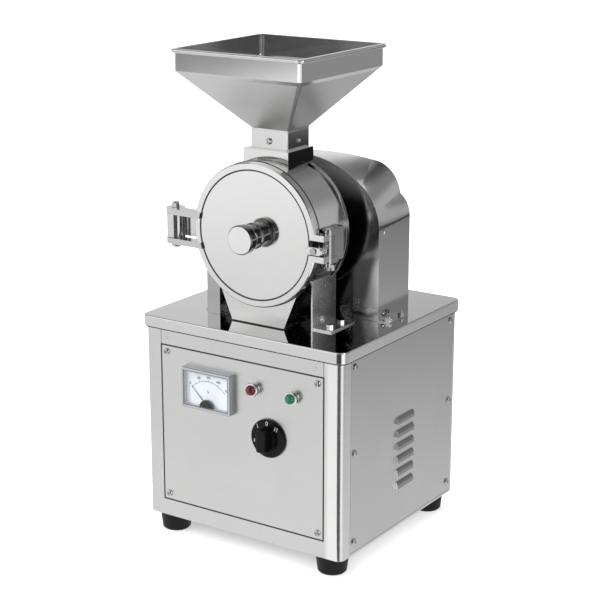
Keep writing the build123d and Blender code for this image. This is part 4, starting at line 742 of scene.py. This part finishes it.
print("helpers for fine pieces")

# %% [markdown]
# The front panel drops into the cabinet's opening with a gap all round, and the gap reads as a crisp dark
# line, the shade in the gap. This ring is a dark strip laid in the gap as painted shade. The meter's edge
# needs a ring of the same kind later, so a function builds it from two rectangles.

# %% The painted shade in the gap round the front panel
def frame_ring(outer, inner, y_front, y_back):
    """A builder for a flat rectangular ring that faces front; outer and inner are (x0, x1, z0, z1)."""
    def build(shape):
        rings = [[shape.verts.new((box[i], y, box[k])) for i, k in ((0, 2), (1, 2), (1, 3), (0, 3))]
                 for box, y in ((outer, y_back), (outer, y_front), (inner, y_front), (inner, y_back))]
        join_rings(shape, rings + rings[:1])
    return build


def grown(box, by):
    """A rectangle (x0, x1, z0, z1) grown by a length on every side."""
    x0, x1, z0, z1 = box
    return (x0 - by, x1 + by, z0 - by, z1 + by)


def face_of(node):
    """(rectangle seen from the front, front plane) of a solid."""
    low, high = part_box(node)
    return (low[0], high[0], low[2], high[2]), low[1]


panel_face, panel_front = face_of("front_panel")
# painted shade: a dark strip in the gap round the front panel
panel_gap_shade = mesh_object("front_panel_gap_shade", frame_ring(grown(panel_face, 1.5 * MM), grown(panel_face, -0.5 * MM),
                                                  panel_front - 0.12 * MM, panel_front + 0.4 * MM))
dress(panel_gap_shade, "machine", "seal_rubber")
print(panel_gap_shade.name, len(panel_gap_shade.data.polygons))

# %% [markdown]
# Under the lid's rim a dark line shows, the shade between the lid and the cabinet. A dark ring there is
# painted shade. The ring follows the cabinet's rounded corners, or it would stick out past those of the lid.

# %% The painted shade under the lid's rim
lid_low, lid_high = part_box("cabinet_lid")
frame_low, frame_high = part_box("cabinet_frame")
CORNER_ROUND = 9.0  # millimetres
CORNERS = ((1, 1), (-1, 1), (-1, -1), (1, -1))
CORNER_STEPS = 6


def rim_shade_ring(shape):
    """A dark ring of painted shade with rounded corners; each loop is (how far outside the cabinet, height) in
    mm.
    """
    middle_x, middle_y = frame_high[0] - CORNER_ROUND * MM, frame_high[1] - CORNER_ROUND * MM
    rings = []
    for out, z in ((0.0, -1.5), (3.4, -1.5), (3.4, -0.05), (0.0, -0.05)):
        radius = (CORNER_ROUND + out) * MM
        ring = []
        for quarter, (sx, sy) in enumerate(CORNERS):
            for step in range(CORNER_STEPS + 1):
                turned = radians(90 * quarter + 90 / CORNER_STEPS * step)
                ring.append(shape.verts.new((sx * middle_x + radius * cos(turned),
                                             sy * middle_y + radius * sin(turned), lid_low[2] + z * MM)))
        rings.append(ring)
    join_rings(shape, rings + rings[:1])


# painted shade: a dark ring under the lid's rim
lid_rim_shade = mesh_object("lid_rim_painted_shade", rim_shade_ring)
dress(lid_rim_shade, "machine", "seal_rubber")
print(lid_rim_shade.name, [round(v, 4) for v in (*frame_high, lid_low[2])])

# %% [markdown]
# The rail above the panel is let in between the two corner posts. Its ends show as two short fine lines. A
# groove would need a cut in the solid, so each line is a thin dark strip in the seam.

# %% The ends of the upper rail
def rail_ends(shape):
    """Two thin upright strips, one at each end of the rail."""
    top, bottom = lid_low[2] - 0.3 * MM, panel_face[3] + 0.9 * MM
    for x in (panel_face[0] - 0.5 * MM, panel_face[1] + 0.5 * MM):
        strip(shape, (x, frame_low[1], (top + bottom) / 2), (0.6 * MM, 0.16 * MM, top - bottom))


rail_seams = mesh_object("rail_end_seams", rail_ends)
dress(rail_seams, "machine", "seal_rubber")
print(rail_seams.name, len(rail_seams.data.polygons))

# %% [markdown]
# The rail is spot welded from behind, which leaves two faint round marks on its front. They are very flat
# domes, 0.16 mm high, made of rings of points that rise towards the middle.

# %% The spot weld marks
WELD_PLACES = ((-0.1143, 0.2703), (0.1124, 0.2716))
WELD_RINGS = ((3.0, 0.0), (2.4, 0.10), (1.2, 0.16))  # radius and height in millimetres
WELD_STEPS = 20


def weld_marks(shape):
    """Two very flat round domes."""
    turns = [2 * pi * k / WELD_STEPS for k in range(WELD_STEPS)]
    for x, z in WELD_PLACES:
        rings = [[shape.verts.new((x + radius * MM * cos(turned), frame_low[1] - rise * MM,
                                   z + radius * MM * sin(turned))) for turned in turns]
                 for radius, rise in WELD_RINGS]
        join_rings(shape, rings)
        shape.faces.new(rings[-1])


welds = mesh_object("spot_weld_marks", weld_marks)
for face in welds.data.polygons:
    face.use_smooth = True
dress(welds, "machine", "cabinet_steel", steel("spot_weld_mark", 0.58, 0.2, (300, 300, 300), 0.05))
print(welds.name, len(welds.data.polygons))

# %% [markdown]
# Where the discharge chute meets the polished lid, a dark line of contact shadow parts the chute from its own
# mirror image. A thin dark strip there is that painted shadow. The chute's own lowest points say where its
# front edge is.

# %% The painted shadow at the foot of the chute
foot_points = [v.co for v in nodes["discharge_chute"].data.vertices if v.co.z < lid_high[2] + 1.0 * MM]
foot_front = min(v.y for v in foot_points)
foot_xs = [v.x for v in foot_points if v.y < foot_front + 1.0 * MM]
foot_left, foot_right = min(foot_xs), max(foot_xs)
foot_middle = ((foot_left + foot_right) / 2, foot_front, lid_high[2] + 0.75 * MM)
foot_size = (foot_right - foot_left, 0.8 * MM, 1.3 * MM)
# painted shadow: a dark strip along the chute's foot on the lid
chute_foot_shadow = mesh_object("chute_foot_painted_shadow", lambda shape: strip(shape, foot_middle, foot_size))
dress(chute_foot_shadow, "machine", "seal_rubber")
print(chute_foot_shadow.name, [round(v, 4) for v in (foot_left, foot_right, foot_front, lid_high[2])])

# %% [markdown]
# The door plate sits in its ring with a rubber cord in the groove between them. Where the ring meets the
# drum a thin line of shade shows, and a black cord there is a painted shadow. Seen from the front they are thin
# black circles. A closed curve with a round bevel makes each: four points, with handles of the length that
# bends a quarter into a circle.

# %% The cord in the door's groove, and the painted shadow round its ring
QUARTER_HANDLE = 0.5523


def circle_curve(name, radius, centre, y, thick):
    """A closed round cord that faces front."""
    curve = bpy.data.curves.new(name, "CURVE")
    curve.dimensions = "3D"
    curve.bevel_depth = thick
    curve.bevel_resolution = 2
    curve.resolution_u = 24
    spline = curve.splines.new("BEZIER")
    spline.bezier_points.add(3)
    spline.use_cyclic_u = True
    arm = radius * QUARTER_HANDLE
    for point, (cx, cz) in zip(spline.bezier_points, ((1, 0), (0, 1), (-1, 0), (0, -1))):
        x, z = centre[0] + radius * cx, centre[1] + radius * cz
        point.co = (x, y, z)
        point.handle_left = (x + arm * cz, y, z - arm * cx)
        point.handle_right = (x - arm * cz, y, z + arm * cx)
    item = bpy.data.objects.new(name, curve)
    scene.collection.objects.link(item)
    return item


door_low, door_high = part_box("door_plate")
ring_low, ring_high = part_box("door_ring")
door_axis = ((door_low[0] + door_high[0]) / 2, (door_low[2] + door_high[2]) / 2)
groove_radius = (door_high[0] - door_low[0]) / 2 + 0.25 * MM
ring_shadow_radius = (ring_high[2] - ring_low[2]) / 2 - 0.1 * MM
groove_cord = circle_curve("door_groove_cord", groove_radius, door_axis, door_low[1] + 0.5 * MM, 1.35 * MM)
# painted shadow: a black cord where the door ring meets the drum
ring_shadow_cord = circle_curve("door_ring_painted_shadow", ring_shadow_radius, door_axis, ring_high[1] - 1.0 * MM, 0.8 * MM)
for cord in (groove_cord, ring_shadow_cord):
    dress(cord, "door", "seal_rubber")
print("cord and lip radius", round(groove_radius, 4), round(ring_shadow_radius, 4))

# %% [markdown]
# The front edge of the meter's case is bevelled, and the bevel shows as a lighter band between two darker
# lines. A raised band of pale moulding on the case paints that lighter band as a painted highlight.

# %% The painted highlight on the meter's bevelled edge
case_face, case_plane = face_of("meter_case")
band = mesh_object("meter_edge_band", frame_ring(grown(case_face, -0.9 * MM), grown(case_face, -3.4 * MM),
                                                 case_plane - 0.10 * MM, case_plane + 0.3 * MM))
# painted highlight: a pale band for the light on the bevel
dress(band, "machine", "black_moulding",
      moulded("meter_edge_painted_highlight", (0.50, 0.52, 0.55), 0.25, 1400, 0.00001, coat=0.5))
print(band.name, len(band.data.polygons))

# %% [markdown]
# The meter's scale is an arc round the needle's pivot with short marks outside it, every sixth one longer. It
# is a thin layer of ink just off the dial plate, behind the needle, so it is made of flat strips.

# %% The meter's scale
dial_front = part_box("meter_dial")[0][1]
needle_low, needle_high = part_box("meter_needle")
INK = 0.06 * MM
ink_y = dial_front - INK
pivot = (needle_high[0] - 2.0 * MM, needle_low[2] + 2.0 * MM)
SCALE_RADIUS = 33.5 * MM
SCALE_START, SCALE_SWEEP = -46, 94  # degrees
ARC_STEPS, MARKS, MARKS_PER_NUMBER = 48, 24, 6


def clock_place(centre, radius, degrees):
    """The place (x, z) at a radius and an angle from straight up, clockwise, round a centre."""
    return centre[0] + radius * sin(radians(degrees)), centre[1] + radius * cos(radians(degrees))


def scale_lines(shape):
    """The arc and its marks as thin flat strips."""
    def ink(start, end, length):
        inner, outer = SCALE_RADIUS, SCALE_RADIUS + length
        corners = ((inner, start), (inner, end), (outer, end), (outer, start))
        places = [clock_place(pivot, radius, degrees) for radius, degrees in corners]
        shape.faces.new([shape.verts.new((x, ink_y, z)) for x, z in places])

    for k in range(ARC_STEPS):
        start, end = (SCALE_START + SCALE_SWEEP * step / ARC_STEPS for step in (k, k + 1))
        ink(start, end, 0.55 * MM)
    for k in range(MARKS + 1):
        angle = SCALE_START + SCALE_SWEEP * k / MARKS
        half, length = (0.5, 2.6) if k % MARKS_PER_NUMBER == 0 else (0.3, 1.4)
        ink(angle - half, angle + half, length * MM)


scale_ink = mesh_object("meter_scale", scale_lines)
dress(scale_ink, "machine", "needle_black")
print(scale_ink.name, len(scale_ink.data.polygons))

# %% [markdown]
# Plain numbers stand beyond the long marks, and a V for volts below them. Numbers and letters are text
# objects, which keep their shape as curves. Each number leans a little to its side, as on a real dial.

# %% The meter's numbers
def words(name, text, place, size, y, slot, paint=None, lean=0.0, bold=0.12, spread=1.0):
    """A printed word on the machine that faces front, its middle at place (x, z)."""
    curve = bpy.data.curves.new(name, "FONT")
    curve.body = text
    curve.size = size
    curve.align_x = "CENTER"
    curve.align_y = "CENTER"
    curve.extrude = 0.02 * MM
    curve.offset = bold * MM
    curve.space_character = spread
    item = bpy.data.objects.new(name, curve)
    scene.collection.objects.link(item)
    item.rotation_euler = (pi / 2, radians(lean), 0)
    item.location = (place[0], y, place[1])
    return dress(item, "machine", slot, paint)


NUMBERS = ("0", "100", "200", "300", "400")
for index, number in enumerate(NUMBERS):
    degrees = SCALE_START + SCALE_SWEEP * index / (len(NUMBERS) - 1)
    words("meter_number_" + number, number, clock_place(pivot, SCALE_RADIUS + 5.6 * MM, degrees), 4.2 * MM,
          ink_y, "needle_black", lean=degrees * 0.4)
words("meter_unit", "V", (pivot[0], pivot[1] + 19.5 * MM), 6.0 * MM, ink_y, "needle_black")
print("numbers on the meter", len(NUMBERS))

# %% [markdown]
# The rotary switch has three places. Their legends are printed in white on the fixed scale plate, round the
# grip, and a short white index line is printed to the left of it.

# %% The switch's legends and index line
plate_low, plate_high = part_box("switch_plate")
plate_front = plate_low[1]
hub = ((plate_low[0] + plate_high[0]) / 2, (plate_low[2] + plate_high[2]) / 2)
legend_white = moulded("legend_white", (0.75, 0.76, 0.78), 0.5, 1200, 0.000005)
for legend, degrees in (("I", -44), ("0", 0), ("II", 42)):
    words("switch_legend_" + legend, legend, clock_place(hub, 20.2 * MM, degrees), 8.0 * MM, plate_front - INK,
          "dial_plate", legend_white, lean=degrees * 0.3, bold=0.05, spread=1.3)
line_middle = (hub[0] - 18.7 * MM, plate_front - 0.05 * MM, hub[1] - 5.0 * MM)
line_size = (1.1 * MM, 0.3 * MM, 4.6 * MM)
index_line = mesh_object("switch_index", lambda shape: strip(shape, line_middle, line_size))
dress(index_line, "machine", "dial_plate", legend_white)
print("legends round", [round(v, 4) for v in hub])
